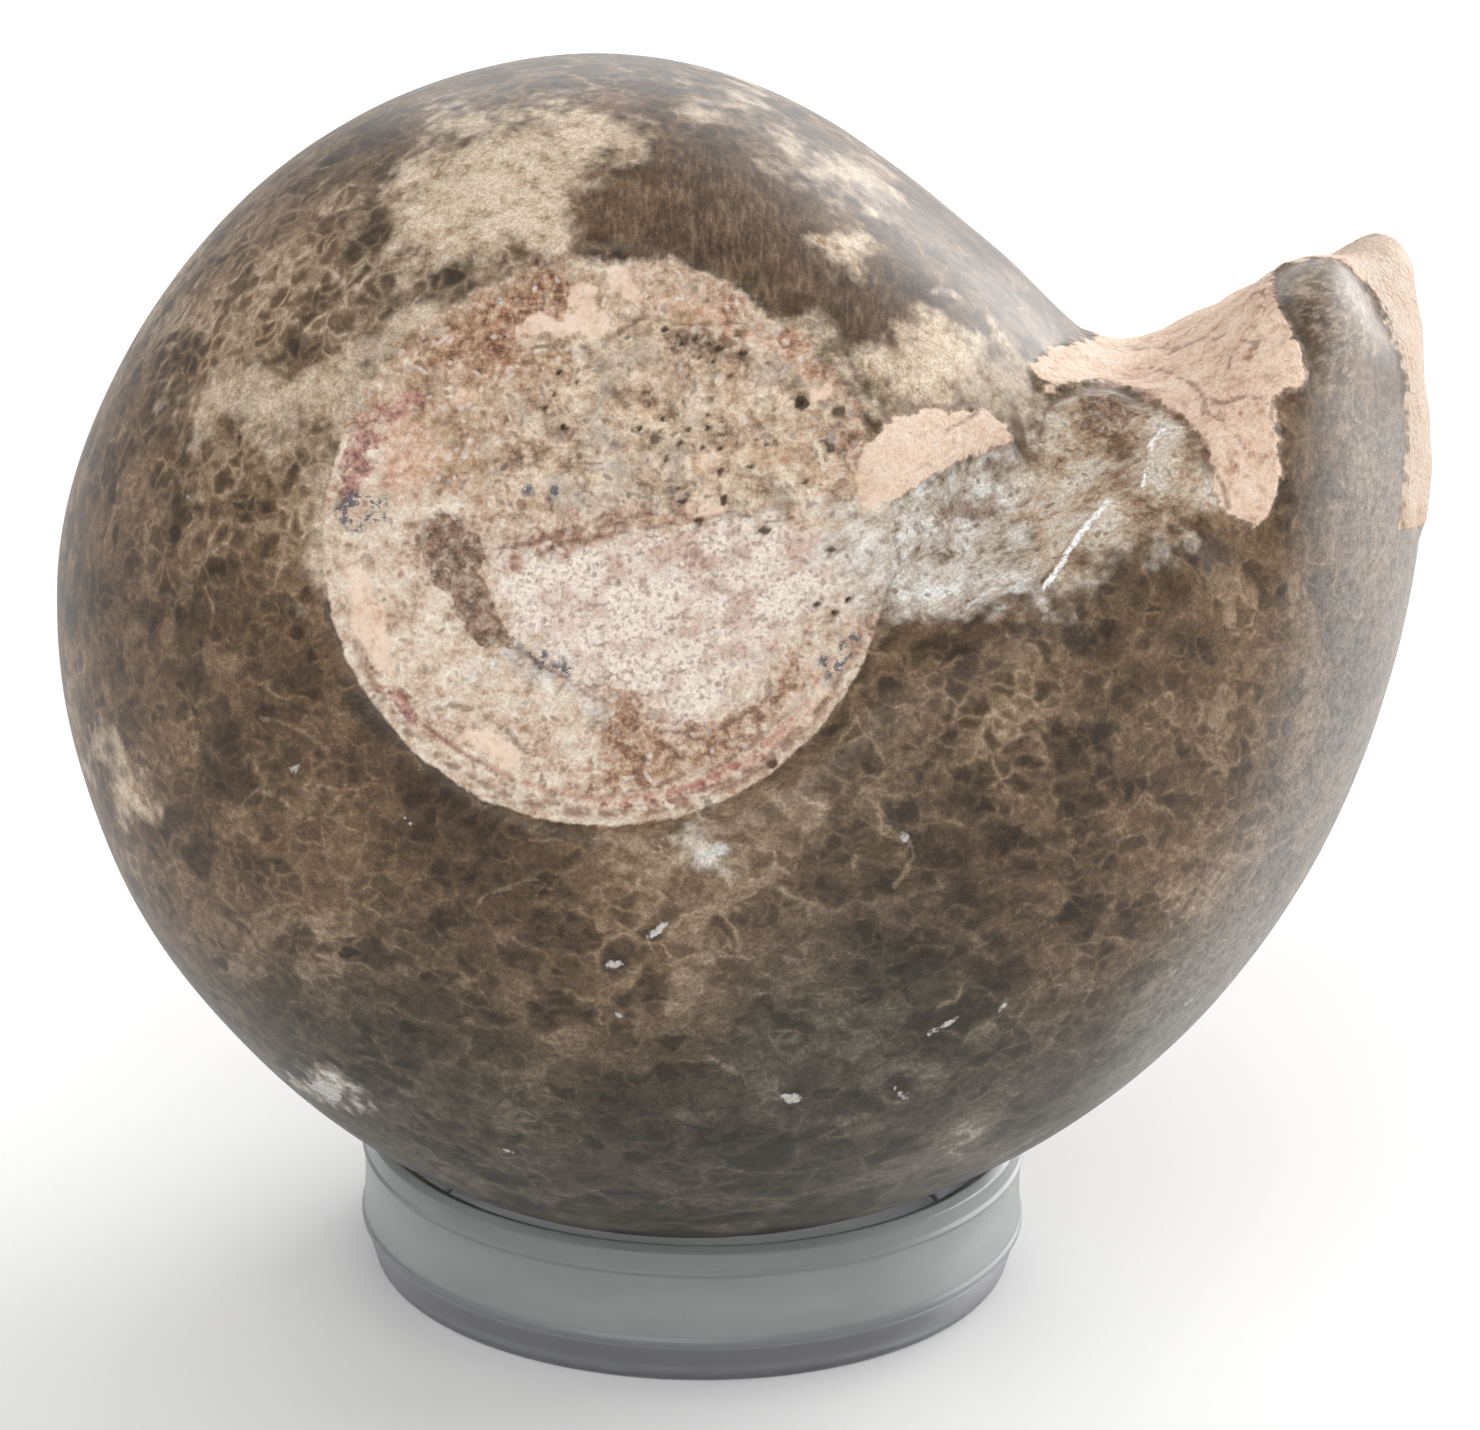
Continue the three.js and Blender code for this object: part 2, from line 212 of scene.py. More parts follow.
UMBER = [
    [(419, 524), (430, 514), (450, 514), (462, 522), (482, 540), (487, 556), (480, 572), (492, 596),
     (508, 624), (512, 646), (484, 650), (466, 632), (454, 606), (448, 590), (436, 584), (424, 566),
     (418, 544)],
    [(1079, 400), (1095, 393), (1115, 398), (1122, 412), (1136, 408), (1140, 418), (1122, 432), (1096, 428),
     (1080, 420)],
]
UMBER_SOFT = [
    [(661, 333), (690, 328), (722, 340), (746, 350), (748, 364), (715, 362), (680, 352)],
    [(1252, 262), (1262, 254), (1288, 251), (1290, 262), (1272, 272), (1258, 270)],
    [(1346, 250), (1362, 240), (1392, 240), (1398, 256), (1372, 262), (1350, 266)],
    [(1411, 354), (1424, 352), (1424, 384), (1412, 382)],
    [(1414, 490), (1424, 490), (1424, 504), (1414, 500)],
    [(960, 500), (992, 498), (1000, 512), (972, 522), (944, 516)],
]
OCHRE = [
    [(350, 430), (380, 360), (440, 300), (520, 262), (600, 250), (690, 275), (780, 320), (850, 380),
     (880, 440), (866, 500), (780, 512), (690, 500), (600, 500), (520, 526), (470, 500), (430, 490),
     (410, 430), (385, 405)],
]
LIP = [
    [(1276, 262), (1310, 254), (1345, 262), (1366, 300), (1376, 340), (1350, 380), (1318, 392), (1304, 352),
     (1290, 320), (1280, 296)],
]
DARKS = [
    [(886, 805), (900, 798), (920, 802), (923, 820), (905, 834), (890, 828)],
    [(600, 966), (612, 958), (628, 952), (624, 966), (611, 974)],
    [(884, 1091), (893, 1079), (906, 1078), (912, 1088), (900, 1092)],
    [(877, 1030), (930, 1014), (1000, 1000), (1000, 1012), (935, 1030), (880, 1042)],
    [(888, 908), (905, 904), (922, 912), (905, 922), (890, 918)],
    [(1058, 640), (1075, 628), (1098, 634), (1090, 650), (1070, 656)],
    [(1088, 720), (1102, 712), (1110, 730), (1100, 752), (1088, 744)],
    [(350, 690), (372, 700), (392, 730), (380, 742), (358, 720)],
    [(704, 796), (710, 796), (712, 812), (703, 810)],
    [(1276, 270), (1286, 280), (1294, 318), (1284, 316), (1276, 296)],
]
WINE = [
    [(416, 392), (424, 404), (386, 420), (372, 448), (366, 480), (350, 500), (338, 488), (346, 456),
     (368, 418)], [(596, 804), (640, 800), (700, 782), (762, 748), (764, 754), (702, 790), (640, 808)],
    [(384, 688), (420, 708), (416, 722), (392, 704)],
]
CHALK = [
    [(812, 500), (840, 486), (868, 505), (900, 486), (950, 466), (1005, 446), (1034, 448), (1020, 486),
     (1030, 520), (1070, 560), (1040, 596), (985, 610), (930, 616), (885, 604), (850, 590), (820, 560)],
    [(476, 658), (512, 652), (560, 680), (545, 684), (512, 672), (478, 668)],
    [(580, 702), (593, 706), (590, 720), (580, 714)],
    [(300, 1078), (318, 1074), (345, 1096), (342, 1106), (318, 1098)],
    [(698, 850), (712, 844), (726, 850), (714, 864), (700, 866)],
]
KNOB = [
    [(1040, 440), (1048, 412), (1072, 396), (1108, 390), (1150, 404), (1190, 430), (1212, 470), (1222, 505),
     (1190, 530), (1140, 548), (1100, 560), (1060, 600), (1036, 580), (1020, 520), (1022, 470)],
]
SLATE = [
    [(339, 494), (362, 488), (389, 500), (388, 524), (350, 530), (338, 516)],
    [(548, 484), (586, 490), (586, 500), (552, 498)],
    [(524, 484), (536, 486), (534, 494), (522, 492)],
    [(500, 470), (509, 470), (508, 476), (500, 476)],
    [(498, 658), (508, 658), (508, 668), (498, 668)],
    [(522, 645), (544, 655), (570, 664), (566, 678), (540, 672), (524, 656)],
    [(814, 655), (828, 658), (846, 632), (860, 634), (842, 668), (830, 684)],
]
FIBRES = [
    [(575, 190), (615, 165), (650, 140), (700, 140), (760, 165), (830, 215), (890, 275), (930, 310),
     (900, 332), (862, 345), (800, 318), (730, 290), (680, 270), (630, 255), (580, 225)],
]

# A pale band along the right edge: painted sheen, a reflection of the bright surroundings laid into the
# colour
PAINTED_SHEEN_OUTLINES = [
    [(1342, 400), (1440, 420), (1440, 640), (1400, 790), (1310, 930), (1200, 1030), (1120, 1090),
     (1160, 1000), (1230, 890), (1284, 760), (1310, 640), (1322, 520)],
]

# Thin pale threads of the stone: half-width in pixels, and the line's corners
THREADS = [
    (2.4, [(868, 786), (876, 806), (882, 828), (896, 836), (911, 841), (916, 855), (905, 874), (889, 892)]),
    (1.0, [(831, 749), (850, 740), (872, 731)]),
    (1.3, [(709, 1058), (728, 1066), (745, 1083)]),
    (1.5, [(963, 974), (955, 1002), (939, 1010)]),
    (1.6, [(262, 716), (292, 724), (331, 750)]),
    (1.6, [(88, 726), (96, 748), (112, 764), (121, 776)]),
    (1.0, [(238, 824), (242, 800), (257, 789), (277, 800), (299, 817), (320, 824)]),
    (1.0, [(480, 905), (500, 884), (530, 880), (560, 896)]),
    (1.0, [(1000, 700), (1020, 720), (1052, 716), (1080, 740)]),
]

# Dark cracks and seams: half-width in pixels, and the line's corners. The line along the knob's top rim is
# painted shadow under the rim, over a shallow groove.
CRACKS = [
    (2.2, [(400, 690), (419, 706), (458, 703), (492, 718), (511, 733), (529, 752), (540, 779),
           (560, 800)]),
    (1.6, [(356, 640), (376, 668), (402, 698), (440, 734), (480, 762), (520, 788), (560, 805), (600, 812),
           (650, 806), (700, 791), (745, 769), (790, 740), (826, 702)]),
    (1.4, [(600, 798), (660, 786), (720, 764), (776, 728), (808, 690)]),
    (2.0, [(498, 547), (540, 540), (590, 528), (640, 516), (684, 514)]),
    (1.4, [(513, 560), (560, 546), (620, 532), (676, 526)]),
    (1.8, [(600, 700), (632, 708), (660, 735), (700, 736), (740, 718), (768, 690)]),
    (1.6, [(419, 524), (436, 511), (456, 516), (472, 536)]),
    (1.6, [(508, 646), (530, 654), (566, 676), (590, 694)]), (1.4, [(380, 430), (392, 414), (420, 402)]),
    (1.4, [(345, 470), (362, 452), (372, 430)]), (1.5, [(560, 470), (600, 462), (640, 470)]),
    (1.5, [(690, 520), (730, 512), (770, 520), (820, 505)]),
    (1.6, [(600, 340), (640, 320), (690, 322), (740, 340), (790, 372)]),
    # Painted shadow under the knob's top rim
    (2.2, [(1035, 442), (1041, 424), (1049, 408), (1063, 397), (1085, 391), (1112, 392), (1128, 399)]),
    (1.8, [(1100, 384), (1140, 394), (1166, 408), (1188, 426), (1206, 448), (1216, 474), (1226, 506)]),
    (1.6, [(1274, 268), (1278, 296), (1288, 318), (1303, 348), (1307, 378), (1297, 392), (1276, 402),
           (1272, 430)]), (1.6, [(1150, 372), (1180, 380), (1204, 396), (1232, 404), (1262, 402)]),
    (1.4, [(1203, 394), (1206, 412)]),
    (1.4, [(1206, 402), (1226, 428), (1240, 444), (1256, 462), (1262, 486)]),
    (1.4, [(1246, 346), (1258, 350)]), (1.4, [(1238, 352), (1232, 370)]), (1.4, [(1258, 342), (1254, 360)]),
    (1.4, [(1252, 300), (1258, 292), (1270, 300)]), (1.4, [(1226, 452), (1240, 474), (1262, 482)]),
    (1.3, [(1120, 350), (1170, 352), (1230, 336)]), (1.5, [(950, 434), (962, 424), (976, 412)]),
    (1.6, [(884, 412), (930, 404), (976, 404), (1006, 422)]), (1.5, [(884, 600), (900, 560), (896, 520)]),
    (1.5, [(930, 545), (980, 520), (1030, 500)]),
]

# Bruised white edges and chips: half-width in pixels, and the line's corners
CHIPS = [
    (5.0, [(704, 858), (722, 848)]), (3.0, [(652, 936), (661, 926)]), (2.2, [(606, 966), (620, 963)]),
    (4.0, [(785, 1096), (795, 1097)]), (1.6, [(893, 1088), (903, 1095), (911, 1096)]),
    (2.0, [(294, 768), (297, 761)]), (1.6, [(188, 494), (189, 496)]), (3.0, [(496, 300), (500, 301)]),
    (7.0, [(318, 1084), (336, 1098)]), (1.6, [(690, 800), (696, 812)]), (3.0, [(586, 706), (592, 716)]),
    (2.0, [(500, 652), (530, 664), (575, 686)]), (1.6, [(454, 400), (474, 408)]),
    (2.5, [(815, 664), (828, 690)]), (1.6, [(402, 815), (408, 822)]), (1.5, [(1186, 1002), (1192, 998)]),
    (2.0, [(905, 832), (909, 838)]), (1.4, [(620, 1014), (622, 1018)]), (1.4, [(930, 1034), (960, 1020)]),
    (1.3, [(1000, 1008), (1006, 1004)]), (1.3, [(506, 1150), (512, 1154)]),
]

# The crests of the broken chambers: raised a little, and painted near-white along them as their highlight
GLINTS = [
    (2.4, [(1168, 436), (1154, 454)]), (1.8, [(1150, 470), (1142, 486)]),
    (2.6, [(1107, 506), (1086, 534), (1066, 563), (1044, 590)]), (1.5, [(1272, 266), (1281, 262)]),
]

# Holes of the near flank in the picture: middle, half-width and depth in millimetres
HOLES = [
    (802, 402, 0.75, 1.5), (664, 330, 0.40, 0.9), (675, 337, 0.32, 0.7), (684, 342, 0.48, 0.9),
    (695, 338, 0.32, 0.7), (707, 344, 0.38, 0.8), (718, 348, 0.50, 1.0), (730, 345, 0.30, 0.7),
    (742, 352, 0.45, 1.0), (699, 357, 0.28, 0.6), (713, 363, 0.32, 0.7), (736, 363, 0.28, 0.6),
    (724, 373, 0.22, 0.5), (676, 353, 0.26, 0.6), (558, 372, 0.4, 0.9), (577, 385, 0.35, 0.7),
    (552, 392, 0.35, 0.8), (543, 408, 0.35, 0.8), (563, 427, 0.4, 0.8), (521, 458, 0.3, 0.6),
    (695, 378, 0.35, 0.8), (732, 374, 0.3, 0.6), (686, 430, 0.35, 0.8), (708, 429, 0.4, 0.8),
    (682, 444, 0.35, 0.7), (705, 448, 0.35, 0.7), (720, 449, 0.4, 0.8), (666, 457, 0.4, 0.8),
    (742, 441, 0.3, 0.7), (769, 445, 0.35, 0.8), (749, 467, 0.4, 0.8), (719, 471, 0.45, 0.8),
    (821, 443, 0.35, 0.8), (639, 427, 0.4, 0.8), (664, 419, 0.3, 0.7), (711, 415, 0.3, 0.7),
    (683, 501, 0.45, 1.0), (698, 520, 0.5, 0.8), (765, 531, 0.6, 1.0), (724, 499, 0.35, 0.8),
    (646, 392, 0.6, 0.5), (649, 404, 0.5, 0.5), (816, 605, 0.45, 0.9), (849, 601, 0.4, 0.9),
    (837, 615, 0.5, 0.9), (832, 548, 0.5, 0.9), (770, 761, 0.65, 0.8),
]

# Pale and dark clouds of the polished calcite: middle in the picture, radius in pixels, and strength. The
# dark cloud at the left edge, at (70, 600), is painted shade that dims the rim.
CLOUDS = [
    (700, 830, 80, 0.30), (850, 800, 50, 0.15), (640, 930, 80, 0.16), (740, 1010, 80, 0.06),
    (790, 890, 50, 0.25), (690, 985, 30, 0.25), (560, 1045, 45, 0.25), (765, 1090, 22, 0.35),
    (970, 1140, 26, 0.40), (990, 1017, 16, 0.40), (450, 790, 70, -0.30), (240, 480, 70, -0.10),
    (720, 230, 120, -0.30), (870, 290, 60, -0.30), (330, 270, 80, 0.24), (320, 680, 60, -0.22),
    (160, 650, 60, -0.12), (1150, 690, 80, 0.08), (1000, 930, 110, -0.16), (620, 1080, 90, -0.20),
    (1100, 720, 90, -0.12), (230, 640, 70, 0.05), (1180, 930, 110, 0.10), (1240, 760, 80, 0.05),
    (980, 650, 60, -0.30), (440, 960, 90, -0.12), (240, 330, 60, 0.15), (480, 280, 60, -0.15),
    (210, 800, 60, -0.12), (1330, 420, 55, -0.12), (520, 880, 50, -0.2), (1298, 292, 16, 0.50),
    (1345, 300, 20, 0.22), (310, 520, 30, 0.30), (260, 240, 40, 0.15), (128, 792, 16, 0.45),
    (520, 560, 20, 0.10), (70, 600, 45, -0.40), (1000, 720, 70, 0.08), (380, 1050, 70, -0.10),
    (700, 1190, 160, -0.16), (560, 760, 60, -0.1),
]

# Where the calcite's pale web is plainest: middle in the picture and radius in pixels
WEBS = [
    (330, 290, 90), (270, 500, 90), (450, 270, 60), (560, 170, 110), (300, 400, 90), (170, 330, 60),
    (1000, 720, 80),
]


def smoothstep(value, low, high):
    t = np.clip((value - low) / (high - low), 0.0, 1.0)
    return t * t * (3 - 2 * t)


def blend(a, b, share):
    return a + (b - a) * share


def curve_through(knots):
    """A smooth curve through (place, value) knots, level past its two ends."""
    places, values = np.array(knots, float).T
    slopes = np.gradient(values, places)
    slopes[1:-1] = (values[2:] - values[:-2]) / (places[2:] - places[:-2])

    def curve(at):
        i = np.clip(np.searchsorted(places, at, side="right") - 1, 0, len(places) - 2)
        span = places[i + 1] - places[i]
        t = np.clip((at - places[i]) / span, 0.0, 1.0)
        rise = t * t * (3 - 2 * t)
        start = t * (1 - t) ** 2 * span * slopes[i]
        end = t * t * (t - 1) * span * slopes[i + 1]
        return blend(values[i], values[i + 1], rise) + start + end

    return curve


def filleted_min(a, b, width):
    """The smaller of two fields, with the valley where they meet filled over that width."""
    share = np.maximum(width - np.abs(a - b), 0.0) / width
    return np.minimum(a, b) - share * share * width / 4


def rounded_max(a, b, width):
    """The larger of two fields, with the edge where they meet rounded over that width."""
    return -filleted_min(-a, -b, width)


venter_radius = curve_through(VENTER_RADIUS)
shoulder_radius = curve_through(SHOULDER_RADIUS)
end_height_flank = curve_through(END_HEIGHT_FLANK)
end_height_middle = curve_through(END_HEIGHT_MIDDLE)


def whorl_field(r, width, radius, half_width):
    q = ((r / radius) ** SECTION_POWER + (width / half_width) ** SECTION_POWER) ** (1 / SECTION_POWER)
    return np.hypot(r, width) * (1 - 1 / np.maximum(q, 1e-6))


def inner_whorl(angle, r, width):
    """The beginning of the last whorl, which shrinks under the rest of it."""
    shrink = (1 - VENTER_RADIUS[0][1] / VENTER_RADIUS[-1][1]) * smoothstep(angle, *SHRINK_ANGLES)
    return whorl_field(r, width, venter_radius(angle) * (1 - shrink), HALF_WIDTH)


def outer_whorl(angle, x, y, s, r, width):
    """The rest of the last whorl, up to its broken end."""
    sunk = 1 - smoothstep(angle, *SUNK_ANGLES)
    past = 1 - smoothstep(angle, *LIP_ANGLES)
    radius = blend(venter_radius(angle) - SUNK_RADIUS * sunk, VENTER_RADIUS[-1][1], past)
    gain = HALF_WIDTH_GAIN * smoothstep(angle, *GAIN_ANGLES)
    half_width = blend(HALF_WIDTH - SUNK_WIDTH * sunk + gain, HALF_WIDTH + HALF_WIDTH_GAIN, past)
    whorl = whorl_field(r, width, radius, half_width)

    flank = smoothstep(s, *END_FLANK_NEAR) + smoothstep(-s, *END_FLANK_FAR)
    reach = width / END_REACH
    height = blend(end_height_middle(x), end_height_flank(x), flank) - END_DROP * reach**END_DROP_POWER
    end_face = (y - height) * END_STEEPNESS - END_WALL * (1 - smoothstep(x, *END_START))
    edge = END_ROUNDING[0] + END_ROUNDING[1] * np.minimum(reach, 1.0) ** 2

    followed = np.where(angle < LAST_TURN_ANGLE, angle + 360, angle)
    shoulder = shoulder_radius(followed)
    share = np.maximum(1 - (shoulder / radius) ** SECTION_POWER, 0.0) ** (1 / SECTION_POWER)
    wall = (width - half_width * share - SHOULDER_SLOPE * (r - shoulder)) * SHOULDER_STEEPNESS
    return rounded_max(rounded_max(whorl, end_face, edge), wall, SHOULDER_ROUNDING)


def infill_wall(x, y):
    return np.hypot(x - INFILL_CENTRE[0], y - INFILL_CENTRE[1]) - INFILL_RADIUS


def infill_height(y, width):
    return width - INFILL_LEVEL - INFILL_TILT * y


def fossil_field(x, y, s):
    """Roughly the distance to the fossil's surface, negative inside."""
    r = np.hypot(x, y)
    width = np.abs(s)
    degrees = np.degrees(np.arctan2(y, x))
    angle = np.where(degrees < START_ANGLE, degrees + 360, degrees)
    channel = 1 - smoothstep(np.hypot(x - CHANNEL_CENTRE[0], y - CHANNEL_CENTRE[1]), *CHANNEL_REACH)
    inner = inner_whorl(angle, r, width)
    outer = outer_whorl(angle, x, y, s, r, width)
    whorls = filleted_min(inner, outer, VALLEY_FILLET + CHANNEL_FILLET * channel)
    above = infill_height(y, width)
    cut = rounded_max(-above, infill_wall(x, y) - above * INFILL_DRAFT, INFILL_FOOT)
    field = rounded_max(whorls, -cut, INFILL_RIM)
    for (lump_x, lump_y, lump_s), radius, height in LUMPS:
        near = 1 - ((x - lump_x) ** 2 + (y - lump_y) ** 2 + (s - lump_s) ** 2) / radius**2
        field = field - height * np.maximum(near, 0.0) ** 2
    return field


def slope_of(field, points):
    """The field at some points, and how it grows there along each direction."""
    value = field(*points.T)
    slope = np.empty_like(points)
    for axis in range(3):
        moved = points.copy()
        moved[:, axis] += SLOPE_REACH
        slope[:, axis] = (field(*moved.T) - value) / SLOPE_REACH
    return value, slope


def settle_on_surface(points, field):
    """Points moved along the field's slope onto its zero level."""
    for _ in range(SURFACE_STEPS):
        value, slope = slope_of(field, points)
        steepness = np.maximum((slope**2).sum(1), LEAST_STEEPNESS)
        points = points - slope * (value / steepness)[:, None]
    return points


def separate_touching_sheets(values):
    """Where a square's corners lie in and out by turns, the one nearest the surface changes sides."""
    changed = True
    while changed:
        changed = False
        for axis in range(3):
            u, v = [other for other in range(3) if other != axis]
            steps = [(0, 0), (1, 0), (1, 1), (0, 1)]
            parts = []
            for du, dv in steps:
                part = [slice(None)] * 3
                part[u] = slice(du, values.shape[u] - 1 + du)
                part[v] = slice(dv, values.shape[v] - 1 + dv)
                parts.append(values[tuple(part)])
            a, b, c, d = [part < 0 for part in parts]
            for place in np.argwhere((a == c) & (b == d) & (a != b)):
                corners = []
                for du, dv in steps:
                    corner = place.copy()
                    corner[u] += du
                    corner[v] += dv
                    corners.append(tuple(corner))
                nearest = min(corners, key=lambda corner: abs(values[corner]))
                values[nearest] = -values[nearest]
                changed = True
    return values


def surface_of(field, low, high, step):
    """The zero level of a field as points and four-cornered faces: a point in each cell that it crosses."""
    planes = [np.arange(low[axis], high[axis] + step, step) for axis in range(3)]
    lattice = np.meshgrid(*planes, indexing="ij")
    values = separate_touching_sheets(field(*lattice))
    shape = np.array(values.shape)
    inside = values < 0

    corners = [(i, j, k) for i in (0, 1) for j in (0, 1) for k in (0, 1)]
    count = np.zeros(shape - 1, int)
    for i, j, k in corners:
        count += inside[i : shape[0] - 1 + i, j : shape[1] - 1 + j, k : shape[2] - 1 + k]
    crossed = (count > 0) & (count < len(corners))
    cells = np.argwhere(crossed)
    index = np.full(shape - 1, -1)
    index[crossed] = np.arange(len(cells))

    total = np.zeros((len(cells), 3))
    crossings = np.zeros(len(cells))
    for start in corners:
        for axis in range(3):
            if start[axis]:
                continue
            end = tuple(1 if n == axis else start[n] for n in range(3))
            a = values[tuple((cells + start).T)]
            b = values[tuple((cells + end).T)]
            here = (a < 0) != (b < 0)
            share = a[here] / (a[here] - b[here])
            total[here] += np.array(start) + share[:, None] * (np.array(end) - start)
            crossings[here] += 1
    points = np.array(low) + (cells + total / crossings[:, None]) * step

    faces = []
    for axis in range(3):
        ahead = np.eye(3, dtype=int)[axis]
        near = inside[tuple(slice(0, n - d) for n, d in zip(shape, ahead))]
        far = inside[tuple(slice(d, None) for d in ahead)]
        edges = np.argwhere(near != far)
        u, v = (axis + 1) % 3, (axis + 2) % 3
        rings = []
        for du, dv in [(1, 1), (0, 1), (0, 0), (1, 0)]:
            ring = edges.copy()
            ring[:, u] -= du
            ring[:, v] -= dv
            rings.append(index[tuple(ring.T)])
        quads = np.stack(rings, 1)
        leaving = near[tuple(edges.T)]
        quads[~leaving] = quads[~leaving][:, ::-1]
        faces.append(quads)
    return settle_on_surface(points, field), np.concatenate(faces)


def hashed(cells, seed):
    """Even random numbers from 0 to 1 that depend on whole-number places and the seed alone."""
    n = cells.astype(np.int64).astype(np.uint32)
    n = n[..., 0] * np.uint32(73856093) ^ n[..., 1] * np.uint32(19349663) ^ n[..., 2] * np.uint32(83492791)
    n = n ^ np.uint32(seed * 2654435761 % 2**32)
    n = (n ^ (n >> np.uint32(13))) * np.uint32(1274126177)
    n = (n ^ (n >> np.uint32(16))) * np.uint32(2246822519)
    n = n ^ (n >> np.uint32(15))
    return n.astype(float) / 2**32


def noise(points, size, seed):
    """Smooth random numbers from -1 to 1, with features of that size."""
    scaled = points / size
    cells = np.floor(scaled)
    t = scaled - cells
    t = t * t * (3 - 2 * t)
    total = np.zeros(len(points))
    for corner in [(i, j, k) for i in (0, 1) for j in (0, 1) for k in (0, 1)]:
        weight = np.prod(np.where(corner, t, 1 - t), axis=1)
        total += weight * hashed(cells + corner, seed)
    return total * 2 - 1


def rough_noise(points, size, seed, octaves=3):
    """Noise of a size and its halves, from about -1 to 1."""
    total = np.zeros(len(points))
    for octave in range(octaves):
        total += noise(points, size / 2**octave, seed + octave) / 2**octave
    return total / 1.6


def nearest_seed(points, size, seed):
    """The distance to the nearest random seed, with one in each cell of that size, and the seed's number."""
    scaled = points / size
    cells = np.floor(scaled)
    best = np.full(len(points), 9.0)
    own = np.zeros(len(points))
    for offset in [(i, j, k) for i in (-1, 0, 1) for j in (-1, 0, 1) for k in (-1, 0, 1)]:
        cell = cells + offset
        place = np.stack([hashed(cell, seed + axis) for axis in range(3)], 1)
        far = np.linalg.norm(cell + place - scaled, axis=1)
        closer = far < best
        best[closer] = far[closer]
        own[closer] = hashed(cell, seed + 3)[closer]
    return best * size, own


class Picture:
    """The camera, and where it sees points of the row frame in its 1480 x 1430 picture."""

    def __init__(self, ring_axis):
        elevation, roll = math.radians(CAMERA_ELEVATION), math.radians(CAMERA_ROLL)
        across, up = np.array([1.0, 0, 0]), np.array([0, math.sin(elevation), math.cos(elevation)])
        self.back = np.array([0, -math.cos(elevation), math.sin(elevation)])
        self.right = across * math.cos(roll) + up * math.sin(roll)
        self.up = up * math.cos(roll) - across * math.sin(roll)
        self.place = np.array(CAMERA_AIM) + ring_axis + self.back * CAMERA_DISTANCE
        self.focal = PICTURE_SCALE * CAMERA_DISTANCE

    def sees(self, points):
        ray = points - self.place
        depth = -(ray @ self.back)
        x = PICTURE_MIDDLE[0] + self.focal * (ray @ self.right) / depth
        y = PICTURE_MIDDLE[1] - self.focal * (ray @ self.up) / depth
        return np.stack([x, y], 1)

    def make_camera(self):
        data = bpy.data.cameras.new("camera")
        data.sensor_width = SENSOR_WIDTH
        data.lens = self.focal / PICTURE_WIDTH * SENSOR_WIDTH
        data.clip_start = 0.01
        data.clip_end = 20
        camera = bpy.data.objects.new("camera", data)
        turn = Matrix((self.right, self.up, self.back)).transposed()
        camera.matrix_world = Matrix.Translation(Vector(self.place * MM)) @ turn.to_4x4()
        bpy.context.scene.collection.objects.link(camera)
        bpy.context.scene.camera = camera


def distance_to_side(places, a, b):
    side = b - a
    along = np.clip(((places - a) @ side) / (side @ side), 0, 1)
    return np.linalg.norm(places - a - along[:, None] * side, axis=1)


def depth_in_lines(places, lines):
    """How far inside the nearest of some thick lines of the picture each place is, in millimetres."""
    depth = np.full(len(places), -np.inf)
    for half_width, corners in lines:
        corners = np.array(corners, float)
        for a, b in zip(corners[:-1], corners[1:]):
            depth = np.maximum(depth, half_width - distance_to_side(places, a, b))
    return depth / PICTURE_SCALE


def depth_inside(places, outline):
    """How far inside an outline of the picture each place is, in millimetres, negative outside."""
    corners = np.array(outline, float)
    inside = np.zeros(len(places), bool)
    nearest = np.full(len(places), np.inf)
    for a, b in zip(corners, np.roll(corners, -1, axis=0)):
        side = b - a
        nearest = np.minimum(nearest, distance_to_side(places, a, b))
        spans = (a[1] > places[:, 1]) != (b[1] > places[:, 1])
        rise = side[1] if side[1] else 1.0
        inside ^= spans & (places[:, 0] < a[0] + side[0] * (places[:, 1] - a[1]) / rise)
    return np.where(inside, nearest, -nearest) / PICTURE_SCALE


def depth_in_any(places, outlines):
    return np.max([depth_inside(places, outline) for outline in outlines], axis=0)


def coil_to_row(points, ring_axis):
    """Points of the coil's frame in the row frame, in millimetres."""
    tilt = math.radians(AXIS_TILT)
    turn = np.array([[1, 0, 0], [0, math.sin(tilt), math.cos(tilt)], [0, -math.cos(tilt), math.sin(tilt)]])
    return points @ turn + np.array(COIL_CENTRE) + ring_axis


# How far the near flank's picture is warped and turned where it stands in for the far flank, which isn't seen
FAR_WARP = 5.0
FAR_WARP_SIZE = 14.0
FAR_TURN = 24.0
FAR_FROM = (2, 22)


def picture_places(points, picture, ring_axis):
    """Where each point is in the picture. The far flank has a turned, warped mirror of the near one."""
    x, y, s = points.T
    far = smoothstep(-s, *FAR_FROM)
    turn = np.radians(FAR_TURN) * far
    warp = [rough_noise(points, FAR_WARP_SIZE, seed) * FAR_WARP * far for seed in (301, 302)]
    seen = np.stack([
        x * np.cos(turn) - y * np.sin(turn) + warp[0],
        x * np.sin(turn) + y * np.cos(turn) + warp[1],
        np.abs(s),
    ], 1)
    return picture.sees(coil_to_row(seen, ring_axis))


